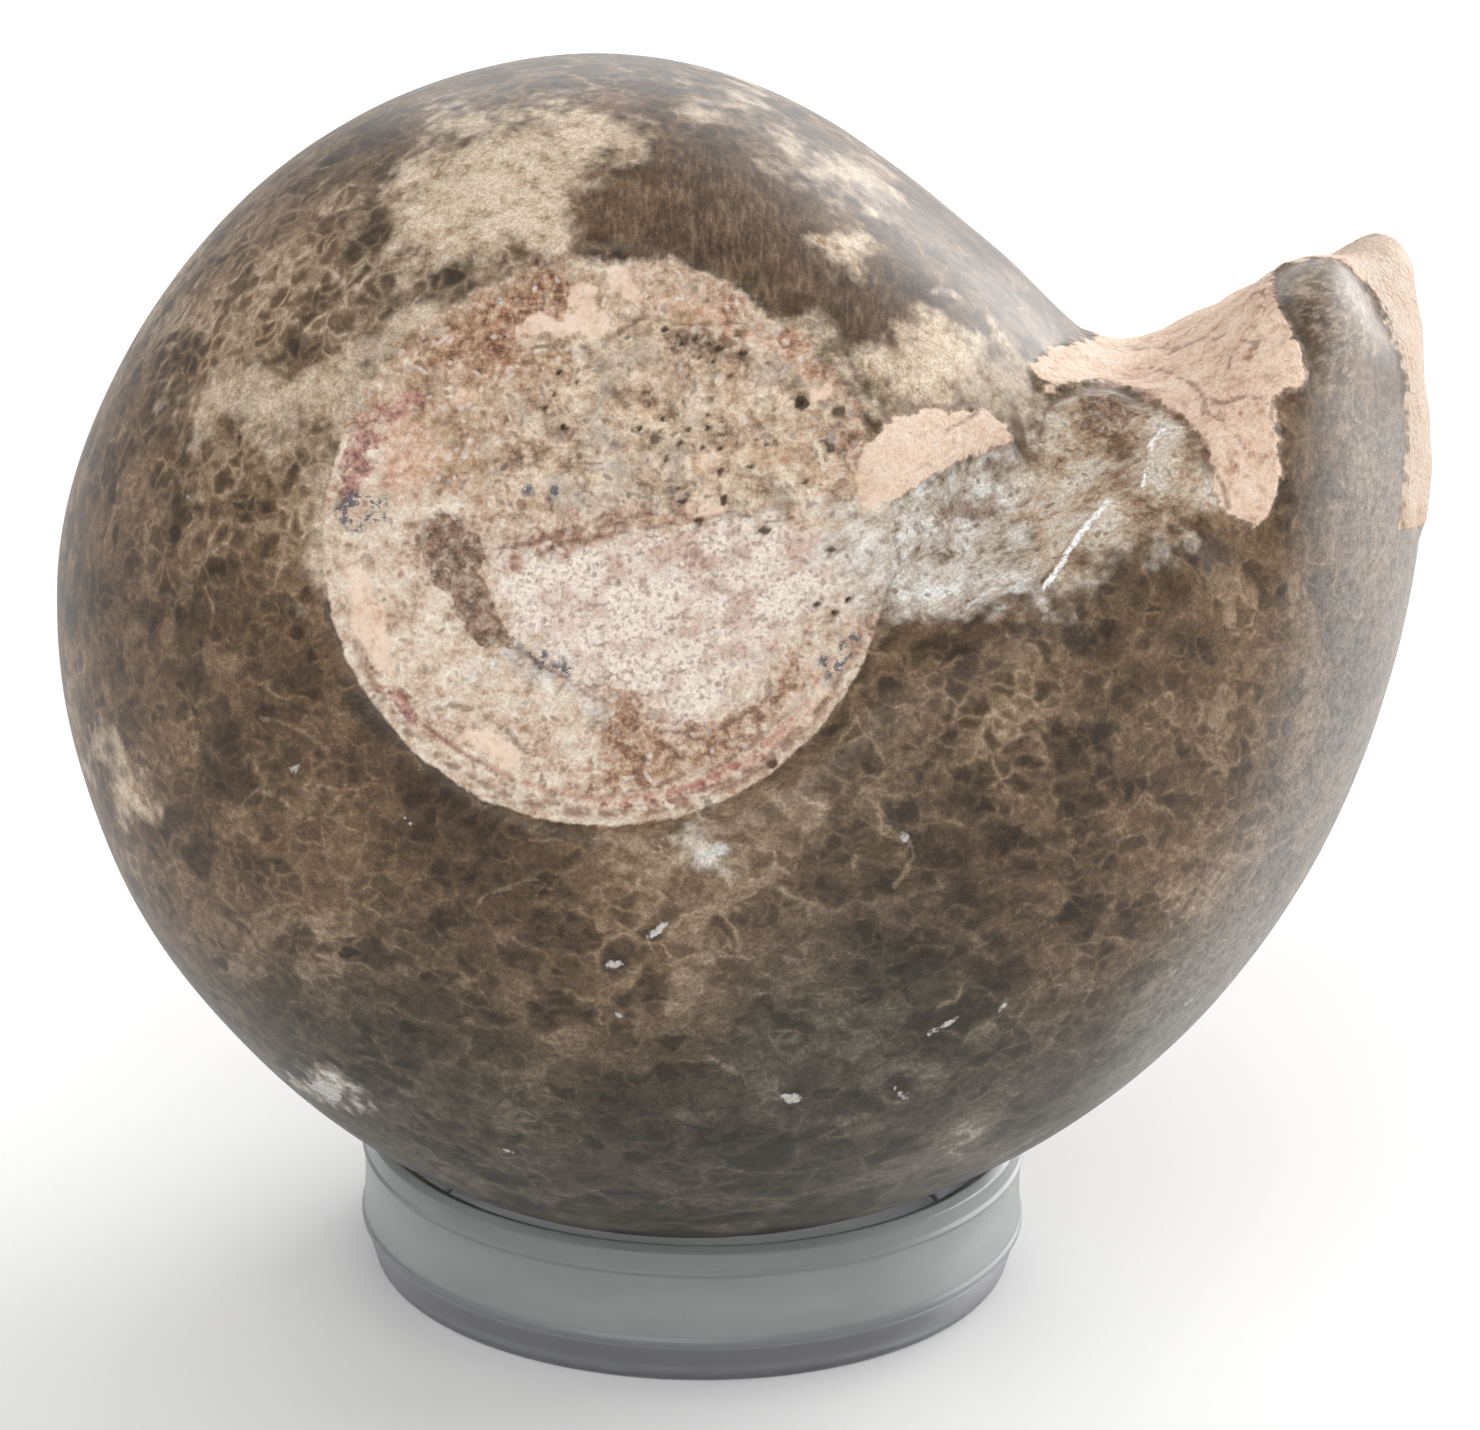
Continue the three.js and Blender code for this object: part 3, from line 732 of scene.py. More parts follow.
# The patches and the thin lines of the stone, by the names that its material knows them by. One patch, the
# pale band along the right edge, is a painted sheen rather than stone.
PATCHES = {
    "cream": CREAM, "cream_soft": CREAM_SOFT, "spongy": SPONGY, "granular": GRANULAR, "rust": RUST,
    "orange": ORANGE, "umber": UMBER, "wine": WINE, "chalk": CHALK, "knob": KNOB, "slate": SLATE,
    "fibres": FIBRES, "peach": PEACH, "pale": PALE, "umber_soft": UMBER_SOFT, "ochre": OCHRE,
    "dark": DARKS, "lip": LIP, "painted_sheen": PAINTED_SHEEN_OUTLINES,
}
LINES = {"thread": THREADS, "chip": CHIPS, "glint": GLINTS, "crack": CRACKS}
LINE_WANDER = 5.0

# The infill's patch: how far it reaches past its wall, the heights over its face between which it fades, and
# how much softer its border is on the upper right, with where that starts and is whole
INFILL_OVERLAP = 0.45
INFILL_FADE = (3.2, 1.4)
INFILL_FADE_DEPTH = 3.0
INFILL_SOFTNESS = 2.2
INFILL_SOFT_SIDE = (2, 16)

# The peach stone in the middle of the broken end: its two ends along s, and its least x and y
END_PEACH_ALONG = (-30.0, 19.0)
END_PEACH_FROM = (36.0, 1.5)

# Where the rusty lines of the infill's rim begin and are whole, from its top downwards
RIM_LOW = (-6, 4)


def stone_marks(points, picture, ring_axis):
    """The patches of the stone at each point: mostly how far inside them it is, in millimetres."""
    places = picture_places(points, picture, ring_axis)
    x, y, s = points.T
    level = smoothstep(infill_height(y, np.abs(s)), *INFILL_FADE)
    softness = 1 + INFILL_SOFTNESS * smoothstep(y + 0.4 * x, *INFILL_SOFT_SIDE)
    inside_face = INFILL_FADE_DEPTH * (level - 0.5)
    marks = {"disc": np.minimum(INFILL_OVERLAP - infill_wall(x, y), inside_face) / softness}
    for name, outlines in PATCHES.items():
        marks[name] = depth_in_any(places, outlines)
    middle_of_end = np.minimum(END_PEACH_ALONG[1] - s, s - END_PEACH_ALONG[0]) * 0.5
    high_on_end = np.minimum(x - END_PEACH_FROM[0], y - END_PEACH_FROM[1])
    marks["peach"] = np.maximum(marks["peach"], np.minimum(middle_of_end, high_on_end))

    marks["tone"] = clouds_at(places, CLOUDS) + 0.16 * rough_noise(points, 11, 431)
    marks["web"] = np.minimum(clouds_at(places, [(*web, 1.0) for web in WEBS]), 1.0)
    marks["vast"] = noise(points, 17, 441)
    marks["rim"] = -infill_wall(x, y) + 0.25 * noise(points, 6.0, 451)
    marks["rim_low"] = smoothstep(-y - 0.5 * np.abs(x), *RIM_LOW)
    wandering = places + np.stack([noise(points, 2.0, seed) for seed in (461, 462)], 1) * LINE_WANDER
    for name, lines in LINES.items():
        marks[name] = depth_in_lines(wandering, lines)
    marks["pit"] = hole_depth(points, places, marks)
    return marks


def clouds_at(places, clouds):
    """The sum of soft round clouds of the picture at each place."""
    total = np.zeros(len(places))
    for x, y, radius, strength in clouds:
        total += strength * np.exp(-((places[:, 0] - x) ** 2 + (places[:, 1] - y) ** 2) / radius**2)
    return total


# The pores of the spongy stone, in millimetres: their spacing, how far they stray, their half-width and depth
# at the least and how much more at the most, and the least random number that has one
HOLE_WANDER = 0.32
PORE_SPACING = 1.5
PORE_WANDER = 0.35
PORE_HALF_WIDTH = (0.18, 0.42)
PORE_DEPTH = (0.2, 0.5)
PORE_LEAST = 0.45


def hole_depth(points, places, marks):
    """How deep in a hole each point is, in millimetres, 0 outside the holes."""
    depth = np.zeros(len(points))
    wander = np.stack([rough_noise(points, 1.0, seed, 2) for seed in (311, 314)], 1) * HOLE_WANDER
    for hole_x, hole_y, half_width, deep in HOLES:
        away = np.linalg.norm((places - (hole_x, hole_y)) / PICTURE_SCALE + wander, axis=1)
        depth = np.maximum(depth, deep * smoothstep(away, half_width, half_width * 0.3))
    strayed = points + rough_noise(points, 0.9, 317, 2)[:, None] * PORE_WANDER
    far, own = nearest_seed(strayed, PORE_SPACING, 320)
    half_width = PORE_HALF_WIDTH[0] + PORE_HALF_WIDTH[1] * own**4
    deep = (PORE_DEPTH[0] + PORE_DEPTH[1] * own) * (own > PORE_LEAST)
    pores = deep * smoothstep(far, half_width * 1.3, half_width * 0.4)
    spongy = smoothstep(marks["spongy"], -1.0, 1.5)
    crowded = smoothstep(noise(points, 5.0, 323), -0.35, 0.15)
    return np.maximum(depth, pores * spongy * crowded)


# How far the stone stands out by patch, in millimetres, and its unevenness there: the height, and the size,
# seed and octaves of the noise
STANDS_OUT = [("umber", -0.35), ("rust", -0.22), ("broken", 0.30)]
UNEVENNESS = [
    ("all", 0.10, 15.0, 331, 3),
    ("disc", 0.34, 5.0, 341, 3),
    ("disc", 0.14, 1.6, 351, 3),
    ("spongy", 0.26, 1.8, 361, 3),
    ("granular", 0.08, 0.8, 371, 3),
    ("rust", -0.20, 2.0, 381, 3),
    ("knob", 0.80, 4.6, 401, 2),
    ("knob", 0.12, 1.6, 405, 3),
    ("broken", 0.35, 4.5, 411, 3),
    ("broken", 0.07, 1.2, 421, 3),
]
CHALK_UNEVENNESS = (0.32, 3.0, 391, 2)
CHALK_STREAKS = (0.45, 1.2, 1.0)
BROKEN_FROM = (24, 34)
PATCH_EDGE = 0.35
DISC_EDGE = (0.3, 2.2)
CREST_HEIGHT = 0.35
CREST_REACH = 1.2
CRACK_DEPTH = 0.09
CRACK_EDGE = (-0.25, 0.12)


def relief(points, marks):
    """How far the stone stands out of the polished form at each point, in millimetres."""
    share = {name: smoothstep(marks[name], -PATCH_EDGE, PATCH_EDGE) for name in PATCHES}
    share["all"] = 1.0
    share["disc"] = smoothstep(marks["disc"], *DISC_EDGE)
    for name in ("spongy", "granular", "umber", "rust"):
        share[name] = share[name] * share["disc"]
    share["broken"] = share["peach"] * (1 - share["disc"]) * smoothstep(points[:, 0], *BROKEN_FROM)

    out = sum(share[name] * height for name, height in STANDS_OUT)
    for name, height, *waves in UNEVENNESS:
        out += share[name] * height * rough_noise(points, *waves)
    height, *waves = CHALK_UNEVENNESS
    out += share["chalk"] * height * rough_noise(points * CHALK_STREAKS, *waves)
    out += CREST_HEIGHT * np.clip(1 + marks["glint"] / CREST_REACH, 0.0, 1.0) ** 2
    out -= CRACK_DEPTH * smoothstep(marks["crack"], *CRACK_EDGE)
    return out - marks["pit"]


# Where the surface is divided further: round the infills and far enough out, in a box over the slope, and
# beside the thin lines
DETAIL_ROUND_INFILL = 1.2
DETAIL_INFILL_OUT = 36.0
DETAIL_SLOPE_X = (14, 54)
DETAIL_SLOPE_Y = (-7, 24)
DETAIL_SLOPE_OUT = 18.0
DETAIL_ROUND_LINES = 0.8


def needs_detail(points, places):
    """True where the infills, the broken end and the thin lines need a closer surface."""
    x, y, s = points.T
    disc = (infill_wall(x, y) < DETAIL_ROUND_INFILL) & (np.abs(s) > DETAIL_INFILL_OUT)
    slope = (x > DETAIL_SLOPE_X[0]) & (x < DETAIL_SLOPE_X[1]) & (s > DETAIL_SLOPE_OUT)
    slope &= (y > DETAIL_SLOPE_Y[0]) & (y < DETAIL_SLOPE_Y[1])
    lined = depth_in_lines(places, THREADS + CHIPS + GLINTS) > -DETAIL_ROUND_LINES
    return disc | slope | (lined & (s > 0))


def divide_faces(points, faces, chosen):
    """The mesh with its chosen faces divided, and every face with three or four corners."""
    mesh = bpy.data.meshes.new("divided")
    mesh.from_pydata(points.tolist(), [], faces.tolist())
    work = bmesh.new()
    work.from_mesh(mesh)
    work.faces.ensure_lookup_table()
    edges = {edge for i in np.flatnonzero(chosen) for edge in work.faces[i].edges}
    ordered = sorted(edges, key=lambda edge: edge.index)
    bmesh.ops.subdivide_edges(work, edges=ordered, cuts=DETAIL_CUTS, use_grid_fill=True)
    bmesh.ops.triangulate(work, faces=[face for face in work.faces if len(face.verts) > 4])
    work.to_mesh(mesh)
    work.free()
    return mesh


def mesh_points(mesh):
    flat = np.empty(len(mesh.vertices) * 3)
    mesh.vertices.foreach_get("co", flat)
    return flat.reshape(-1, 3)


def make_fossil(picture, ring_axis):
    points, faces = surface_of(fossil_field, LATTICE_LOW, LATTICE_HIGH, LATTICE_STEP)
    middles = points[faces].mean(1)
    chosen = needs_detail(middles, picture_places(middles, picture, ring_axis))
    mesh = divide_faces(points, faces, chosen)
    points = settle_on_surface(mesh_points(mesh), fossil_field)
    marks = stone_marks(points, picture, ring_axis)
    _, slope = slope_of(fossil_field, points)
    out = slope / np.linalg.norm(slope, axis=1, keepdims=True)
    points = points + out * relief(points, marks)[:, None]
    mesh.vertices.foreach_set("co", (coil_to_row(points, ring_axis) * MM).ravel())
    for name, values in marks.items():
        layer = mesh.attributes.new(name, "FLOAT", "POINT")
        layer.data.foreach_set("value", values.astype(np.float32))
    mesh.polygons.foreach_set("use_smooth", np.ones(len(mesh.polygons), bool))
    mesh.update()
    mesh.name = "ammonite_stone"
    fossil = bpy.data.objects.new("ammonite_stone", mesh)
    bpy.context.scene.collection.objects.link(fossil)
    mesh.materials.append(stone_material(ring_axis))
    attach(fossil, "root")
    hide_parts("ammonite")


class Nodes:
    """Short calls that add nodes to one material and link them."""

    def __init__(self, name):
        self.material = bpy.data.materials.new(name)
        self.material.use_nodes = True
        self.tree = self.material.node_tree
        self.tree.nodes.clear()
        self.output = self.tree.nodes.new("ShaderNodeOutputMaterial")

    def add(self, kind, inputs=None, **settings):
        node = self.tree.nodes.new(kind)
        for name, value in settings.items():
            setattr(node, name, value)
        for name, value in (inputs or {}).items():
            self.set(node.inputs[name], value)
        return node

    def set(self, socket, value):
        if isinstance(value, bpy.types.NodeSocket):
            self.tree.links.new(value, socket)
        elif isinstance(value, tuple) and len(value) == 3 and socket.type == "RGBA":
            socket.default_value = (*value, 1.0)
        else:
            socket.default_value = value

    def math(self, operation, a, b=0.0, c=0.0):
        return self.add("ShaderNodeMath", {0: a, 1: b, 2: c}, operation=operation).outputs[0]

    def plus(self, a, b):
        return self.math("ADD", a, b)

    def times(self, a, b):
        return self.math("MULTIPLY", a, b)

    def mark(self, name):
        return self.add("ShaderNodeAttribute", attribute_name=name, attribute_type="GEOMETRY").outputs["Fac"]

    def vector(self, operation, a, b):
        return self.add("ShaderNodeVectorMath", {0: a, 1: b}, operation=operation).outputs[0]

    def scaled(self, place, factors):
        return self.vector("MULTIPLY", place, factors)

    def noise(self, place, scale, detail=2.0, roughness=0.5, output="Fac"):
        inputs = {"Vector": place, "Scale": scale, "Detail": detail, "Roughness": roughness}
        return self.add("ShaderNodeTexNoise", inputs).outputs[output]

    def cells(self, place, scale, feature, output="Distance"):
        inputs = {"Vector": place, "Scale": scale}
        return self.add("ShaderNodeTexVoronoi", inputs, feature=feature).outputs[output]

    def warped(self, place, scale, amount, detail=1.0):
        """The place moved about by noise of that scale, by up to about half the amount."""
        colour = self.noise(place, scale, detail, output="Color")
        offset = self.vector("SUBTRACT", colour, (0.5, 0.5, 0.5))
        return self.vector("ADD", place, self.scaled(offset, (amount,) * 3))

    def ramp(self, value, low, high, out_low=0.0, out_high=1.0):
        inputs = {"Value": value, 1: low, 2: high, 3: out_low, 4: out_high}
        return self.add("ShaderNodeMapRange", inputs, interpolation_type="SMOOTHSTEP").outputs[0]

    def mix(self, share, a, b):
        node = self.add("ShaderNodeMix", data_type="RGBA")
        self.set(node.inputs[0], share)
        self.set(node.inputs[6], a)
        self.set(node.inputs[7], b)
        return node.outputs[2]

    def colours(self, value, stops):
        node = self.add("ShaderNodeValToRGB", {"Fac": value})
        ramp = node.color_ramp
        while len(ramp.elements) < len(stops):
            ramp.elements.new(0.5)
        for element, (place, colour) in zip(ramp.elements, stops):
            element.position = place
            element.color = (*colour, 1.0)
        return node.outputs[0]


# Colours of the stone over the values of its noise, as linear shares of red, green and blue
CALCITE = [
    (0.00, (0.020, 0.011, 0.0055)),
    (0.25, (0.044, 0.025, 0.0125)),
    (0.45, (0.092, 0.055, 0.029)),
    (0.62, (0.168, 0.104, 0.058)),
    (0.80, (0.300, 0.208, 0.132)),
    (1.00, (0.480, 0.370, 0.270)),
]
CALCITE_GREY = [
    (0.00, (0.018, 0.015, 0.010)),
    (0.30, (0.036, 0.031, 0.022)),
    (0.55, (0.078, 0.066, 0.047)),
    (0.80, (0.160, 0.138, 0.105)),
    (1.00, (0.350, 0.310, 0.250)),
]
FIBROUS = [(0.34, (0.040, 0.024, 0.014)), (0.50, (0.125, 0.078, 0.046)), (0.66, (0.270, 0.190, 0.125))]
CREAM_STONE = [(0.34, (0.30, 0.19, 0.10)), (0.45, (0.56, 0.44, 0.31)), (0.58, (0.72, 0.60, 0.46))]
INFILL_STONE = [
    (0.34, (0.30, 0.19, 0.13)), (0.44, (0.54, 0.40, 0.30)), (0.53, (0.66, 0.54, 0.43)),
    (0.66, (0.78, 0.69, 0.58)),
]
OCHRE_STONE = [
    (0.34, (0.20, 0.12, 0.07)), (0.44, (0.38, 0.25, 0.16)), (0.54, (0.52, 0.38, 0.27)),
    (0.68, (0.70, 0.58, 0.46)),
]
SPONGE = [
    (0.36, (0.19, 0.13, 0.08)), (0.45, (0.40, 0.29, 0.20)), (0.53, (0.58, 0.45, 0.33)),
    (0.64, (0.78, 0.65, 0.51)),
]
ORANGE_STONE = [(0.35, (0.46, 0.26, 0.17)), (0.50, (0.60, 0.39, 0.28)), (0.66, (0.72, 0.53, 0.41))]
RUST_STONE = [
    (0.36, (0.12, 0.05, 0.03)), (0.46, (0.29, 0.15, 0.085)), (0.56, (0.45, 0.28, 0.18)),
    (0.68, (0.60, 0.45, 0.34)),
]
WINE_STONE = [(0.36, (0.15, 0.06, 0.07)), (0.50, (0.40, 0.19, 0.15)), (0.66, (0.60, 0.40, 0.34))]
CHALK_STONE = [
    (0.36, (0.18, 0.125, 0.09)), (0.43, (0.42, 0.35, 0.28)), (0.51, (0.62, 0.56, 0.49)),
    (0.60, (0.82, 0.80, 0.76)),
]
CRYSTALS = [
    (0.38, (0.17, 0.10, 0.06)), (0.45, (0.40, 0.285, 0.19)), (0.51, (0.56, 0.455, 0.345)),
    (0.60, (0.72, 0.65, 0.56)),
]
UMBER_STONE = [(0.36, (0.12, 0.072, 0.048)), (0.52, (0.27, 0.175, 0.12)), (0.68, (0.46, 0.36, 0.29))]
PEACH_STONE = [
    (0.34, (0.46, 0.27, 0.18)), (0.42, (0.68, 0.47, 0.35)), (0.54, (0.79, 0.60, 0.46)),
    (0.68, (0.82, 0.66, 0.54)),
]
LIP_STONE = [(0.40, (0.040, 0.025, 0.015)), (0.50, (0.12, 0.085, 0.058)), (0.60, (0.33, 0.28, 0.22))]

# The noises of the stone: scale per millimetre, octaves and roughness. The first three make the patches'
# edges ragged.
NOISES = {
    "wide": (0.28, 1.0, 0.5),
    "middle": (0.85, 1.0, 0.5),
    "close": (2.4, 1.0, 0.5),
    "grain": (1.3, 3.0, 0.7),
    "blotch": (0.45, 1.0, 0.6),
    "speckle": (4.2, 1.0, 0.7),
}
FLOW = (0.45, 2.3)
CRYSTAL_SCALES = (0.24, 0.60)
FLECK_SCALE = 1.5
FLECK_EDGE = (0.55, 0.25)

# Flecks of the stone: the least random number that has one, and its colour
FLECKS = [(0.66, (0.10, 0.07, 0.05)), (0.62, (0.80, 0.73, 0.64)), (0.70, (0.36, 0.17, 0.08))]

# Streaks: how far they lean in degrees, and how they are drawn out, leaning or upright
STREAK_ANGLE = -36.0
LEANING = (0.44, 1.7, 1.1)
UPRIGHT = (2.4, 0.5, 0.8)

# The patches as they are laid: how soft the edge is in millimetres, how far the wide, middle and close noise
# each move it, and how much the patch covers
EDGES = {
    "fibres": (1.6, 1.5, 0.8, 0.0, 0.70),
    "cream_soft": (1.8, 2.4, 1.0, 0.0, 0.62),
    "cream": (1.7, 1.6, 1.0, 0.2, 0.92),
    "ochre": (1.4, 1.6, 1.0, 0.4, 1.0),
    "spongy": (1.4, 1.6, 1.2, 0.5, 0.85),
    "granular": (1.2, 1.6, 1.2, 0.4, 1.0),
    "orange": (0.5, 0.5, 0.7, 0.3, 0.80),
    "rust": (0.9, 1.0, 1.0, 0.4, 0.85),
    "wine": (0.4, 0.3, 0.8, 0.5, 0.85),
    "disc": (0.14, 0.12, 0.10, 0.05, 1.0),
    "lip": (1.6, 1.2, 1.0, 0.0, 0.55),
    "chalk": (1.6, 1.6, 1.1, 0.2, 0.88),
    "knob": (1.5, 1.4, 0.8, 0.1, 0.85),
    "umber_soft": (0.5, 0.5, 0.6, 0.3, 0.75),
    "umber": (0.16, 0.2, 0.25, 0.15, 1.0),
    "peach": (0.22, 0.35, 0.35, 0.14, 1.0),
    "slate": (0.4, 0.0, 0.5, 0.0, 0.85),
    "dark": (0.5, 0.3, 0.5, 0.3, 0.75),
    "thread": (0.16, 0.0, 0.12, 0.12, 0.40),
    "chip": (0.12, 0.0, 0.14, 0.16, 0.85),
    "glint": (0.10, 0.0, 0.08, 0.14, 0.95),
}

# Two rusty lines along the infill's rim: how far in, half-width, cover and colour
RIM_LINES = [(1.5, 0.45, 0.55, (0.40, 0.17, 0.12)), (0.3, 0.55, 0.75, (0.22, 0.12, 0.075))]

# Plain colours of small marks, in the order that they are laid. The near-white of the glints is a painted
# highlight.
SPOT_COLOURS = {
    "dark": (0.030, 0.022, 0.016),
    "thread": (0.38, 0.28, 0.19),
    "chip": (0.54, 0.52, 0.50),
    "glint": (0.92, 0.91, 0.90),
}
# The pale grey of the painted sheen along the right edge
PAINTED_SHEEN_COLOUR = (0.42, 0.405, 0.385)
SLATE_COLOUR = (0.065, 0.070, 0.090)
CRACK_COLOUR = (0.16, 0.085, 0.062)
# The dark of the holes, laid in more the deeper they are: painted shade
HOLE_SHADE_COLOUR = (0.085, 0.058, 0.036)
OUTLINE_COLOUR = (0.13, 0.085, 0.06)
CREASE_COLOUR = (0.30, 0.14, 0.09)
SPONGE_GREY = (0.40, 0.36, 0.33)
SPONGE_RED = (0.60, 0.38, 0.24)
GRAIN_PALE = (0.78, 0.68, 0.59)
GRAIN_BROWN = (0.58, 0.43, 0.35)
GRAIN_DARK = (0.28, 0.19, 0.17)


class StoneNodes(Nodes):
    """The nodes of the fossil's stone. The lengths in them are millimetres in the coil's frame."""

    def __init__(self, ring_axis):
        super().__init__("fossil_stone")
        spot = self.add("ShaderNodeTexCoord").outputs["Object"]
        centre = (np.array(COIL_CENTRE) + ring_axis) * MM
        from_centre = self.vector("SUBTRACT", spot, tuple(centre))
        lean = {"Vector": from_centre, "Angle": math.radians(90 - AXIS_TILT)}
        turned = self.add("ShaderNodeVectorRotate", lean, rotation_type="X_AXIS", invert=True).outputs[0]
        self.place = self.scaled(turned, (1 / MM,) * 3)
        self.x, self.y, _ = self.add("ShaderNodeSeparateXYZ", {0: self.place}).outputs
        made = [self.noise(self.place, *values) for values in NOISES.values()]
        self.wide, self.middle, self.close, self.grain, self.blotch, self.speckle = made
        self.mottle = self.plus(self.times(self.grain, 0.6), self.times(self.blotch, 0.4))
        self.flowing = self.warped(self.place, *FLOW)
        self.flecks = self.fleck_shares()
        self.fibre = self.streaks()

    def fleck_shares(self):
        """Shares of the small crystals, for each kind of fleck."""
        crystals = self.add("ShaderNodeTexVoronoi", {"Vector": self.flowing, "Scale": FLECK_SCALE})
        own = self.add("ShaderNodeSeparateColor", {0: crystals.outputs["Color"]})
        fleck = self.ramp(crystals.outputs["Distance"], *FLECK_EDGE)
        shares = []
        for n, (start, _) in enumerate(FLECKS):
            shares.append(self.times(fleck, self.ramp(own.outputs[n], start, start + 0.1)))
        return shares

    def streaks(self):
        """Noise drawn out into streaks: upright in the fibrous calcite, and leaning elsewhere."""
        lean = {"Vector": self.place, "Angle": math.radians(STREAK_ANGLE)}
        along = self.add("ShaderNodeVectorRotate", lean, rotation_type="Z_AXIS").outputs[0]
        fibrous = self.ramp(self.mark("fibres"), -2.5, -1.5)
        place = self.mix(fibrous, self.scaled(along, LEANING), self.scaled(self.place, UPRIGHT))
        return self.noise(place, 1.0, 3.0, 0.68)

    def patch(self, name):
        """A patch's share, 0 outside and 1 inside, with its edge moved about by the noises."""
        soft, *reaches, _ = EDGES[name]
        value = self.mark(name)
        for noise, reach in zip((self.wide, self.middle, self.close), reaches):
            if reach:
                value = self.plus(value, self.math("MULTIPLY_ADD", noise, reach * 4, -reach * 2))
        return self.ramp(value, -soft, soft)

    def laid(self, name, under, over):
        """One colour laid over the other where the stone has that patch."""
        cover = EDGES[name][-1]
        share = self.patch(name)
        if cover < 1:
            share = self.times(share, cover)
        return self.mix(share, under, over)

    def flecked(self, colour, dark, pale, rust):
        """The colour with that much of each kind of fleck."""
        kinds = list(zip(self.flecks, (dark, pale, rust), FLECKS))
        for fleck, amount, (_, fleck_colour) in reversed(kinds):
            colour = self.mix(self.times(fleck, amount), colour, fleck_colour)
        return colour

    def calcite(self):
        """The polished calcite: crystals of many browns with pale edges, greyer low down."""
        stretch = self.mix(self.ramp(self.y, 5.0, -40.0), (1.0,) * 3, (0.80, 1.15, 1.0))
        stretched = self.scaled(self.flowing, stretch)
        big_edge, small_edge = [self.cells(stretched, scale, "DISTANCE_TO_EDGE") for scale in CRYSTAL_SCALES]
        big_own, small_own = [self.cells(stretched, scale, "F1", "Color") for scale in CRYSTAL_SCALES]

        # The crystals' own tones, the big ones' dark middles, and the pale threads and web between them
        tone = self.math("MULTIPLY_ADD", self.mark("tone"), 0.60, 0.175)
        for part, share, strength in [
            (self.plus(big_own, -0.5), self.ramp(big_edge, 0.0, 0.14), 0.46),
            (self.plus(small_own, -0.5), self.ramp(small_edge, 0.0, 0.20), 0.36),
            (self.ramp(big_edge, 0.05, 0.45), self.ramp(self.wide, 0.35, 0.60), -0.13),
            (self.ramp(big_edge, 0.07, 0.0), self.ramp(self.wide, 0.44, 0.62), 0.13),
            (self.ramp(small_edge, 0.36, 0.0), self.math("MULTIPLY_ADD", self.mark("web"), 0.17, 0.08), 1.0),
            (self.ramp(small_edge, 0.10, 0.0), self.ramp(self.middle, 0.46, 0.62), 0.09),
        ]:
            tone = self.math("MULTIPLY_ADD", self.times(part, share), strength, tone)
        tone = self.math("MULTIPLY_ADD", self.grain, 0.58, tone)

        greyness = self.math("MULTIPLY_ADD", self.mark("vast"), 0.30, 0.14)
        greyness = self.ramp(self.plus(greyness, self.ramp(self.y, -20.0, -46.0, 0.0, 0.7)), 0.0, 0.95)
        return self.mix(greyness, self.colours(tone, CALCITE), self.colours(tone, CALCITE_GREY))

    def calcite_patches(self, colour):
        """Fibrous and cream calcite, and the painted sheen along the right edge."""
        fibrous = self.plus(self.times(self.fibre, 0.7), self.times(self.blotch, 0.3))
        colour = self.laid("fibres", colour, self.colours(fibrous, FIBROUS))
        # Painted sheen: the colour paled towards grey in the band along the right edge
        painted_sheen = self.ramp(self.mark("painted_sheen"), -4.5, 3.5)
        painted_sheen = self.times(painted_sheen, self.ramp(self.grain, 0.30, 0.62, 0.55, 1.0))
        colour = self.mix(self.times(painted_sheen, 0.48), colour, PAINTED_SHEEN_COLOUR)
        cream = self.flecked(self.colours(self.mottle, CREAM_STONE), 0.0, 0.2, 0.15)
        return self.laid("cream", self.laid("cream_soft", colour, cream), cream)

    def sponge(self):
        """The spongy stone of the infill, greyer and redder by turns."""
        sponge = self.flecked(self.colours(self.mottle, SPONGE), 0.55, 0.35, 0.40)
        sponge = self.mix(self.times(self.ramp(self.wide, 0.55, 0.66), 0.38), sponge, SPONGE_GREY)
        return self.mix(self.times(self.ramp(self.wide, 0.45, 0.34), 0.36), sponge, SPONGE_RED)

    def granular(self):
        """The pale stone of the infill with its dark grains."""
        grains = self.times(self.ramp(self.close, 0.49, 0.62), self.ramp(self.fibre, 0.36, 0.58, 0.25, 1.0))
        granular = self.mix(self.ramp(self.blotch, 0.40, 0.70), GRAIN_PALE, GRAIN_BROWN)
        return self.flecked(self.mix(self.times(grains, 0.62), granular, GRAIN_DARK), 0.25, 0.6, 0.3)

    def infill(self):
        """The stone that fills the umbilicus."""
        infill = self.flecked(self.colours(self.mottle, INFILL_STONE), 0.35, 0.25, 0.40)
        ochre = self.flecked(self.colours(self.mottle, OCHRE_STONE), 0.45, 0.45, 0.5)
        infill = self.laid("ochre", infill, ochre)
        infill = self.laid("spongy", infill, self.sponge())
        infill = self.laid("granular", infill, self.granular())
        orange = self.flecked(self.colours(self.grain, ORANGE_STONE), 0.2, 0.2, 0.3)
        infill = self.laid("orange", infill, orange)
        rust = self.flecked(self.colours(self.grain, RUST_STONE), 0.4, 0.5, 0.5)
        infill = self.laid("rust", infill, rust)
        infill = self.laid("wine", infill, self.colours(self.grain, WINE_STONE))
        rim = self.mark("rim")
        for middle, half_width, cover, rim_colour in RIM_LINES:
            away = self.math("ABSOLUTE", self.plus(rim, -middle))
            line = self.times(self.ramp(away, half_width, 0.0), self.ramp(self.middle, 0.36, 0.54))
            line = self.times(line, self.mark("rim_low"))
            infill = self.mix(self.times(line, cover), infill, rim_colour)
        return infill

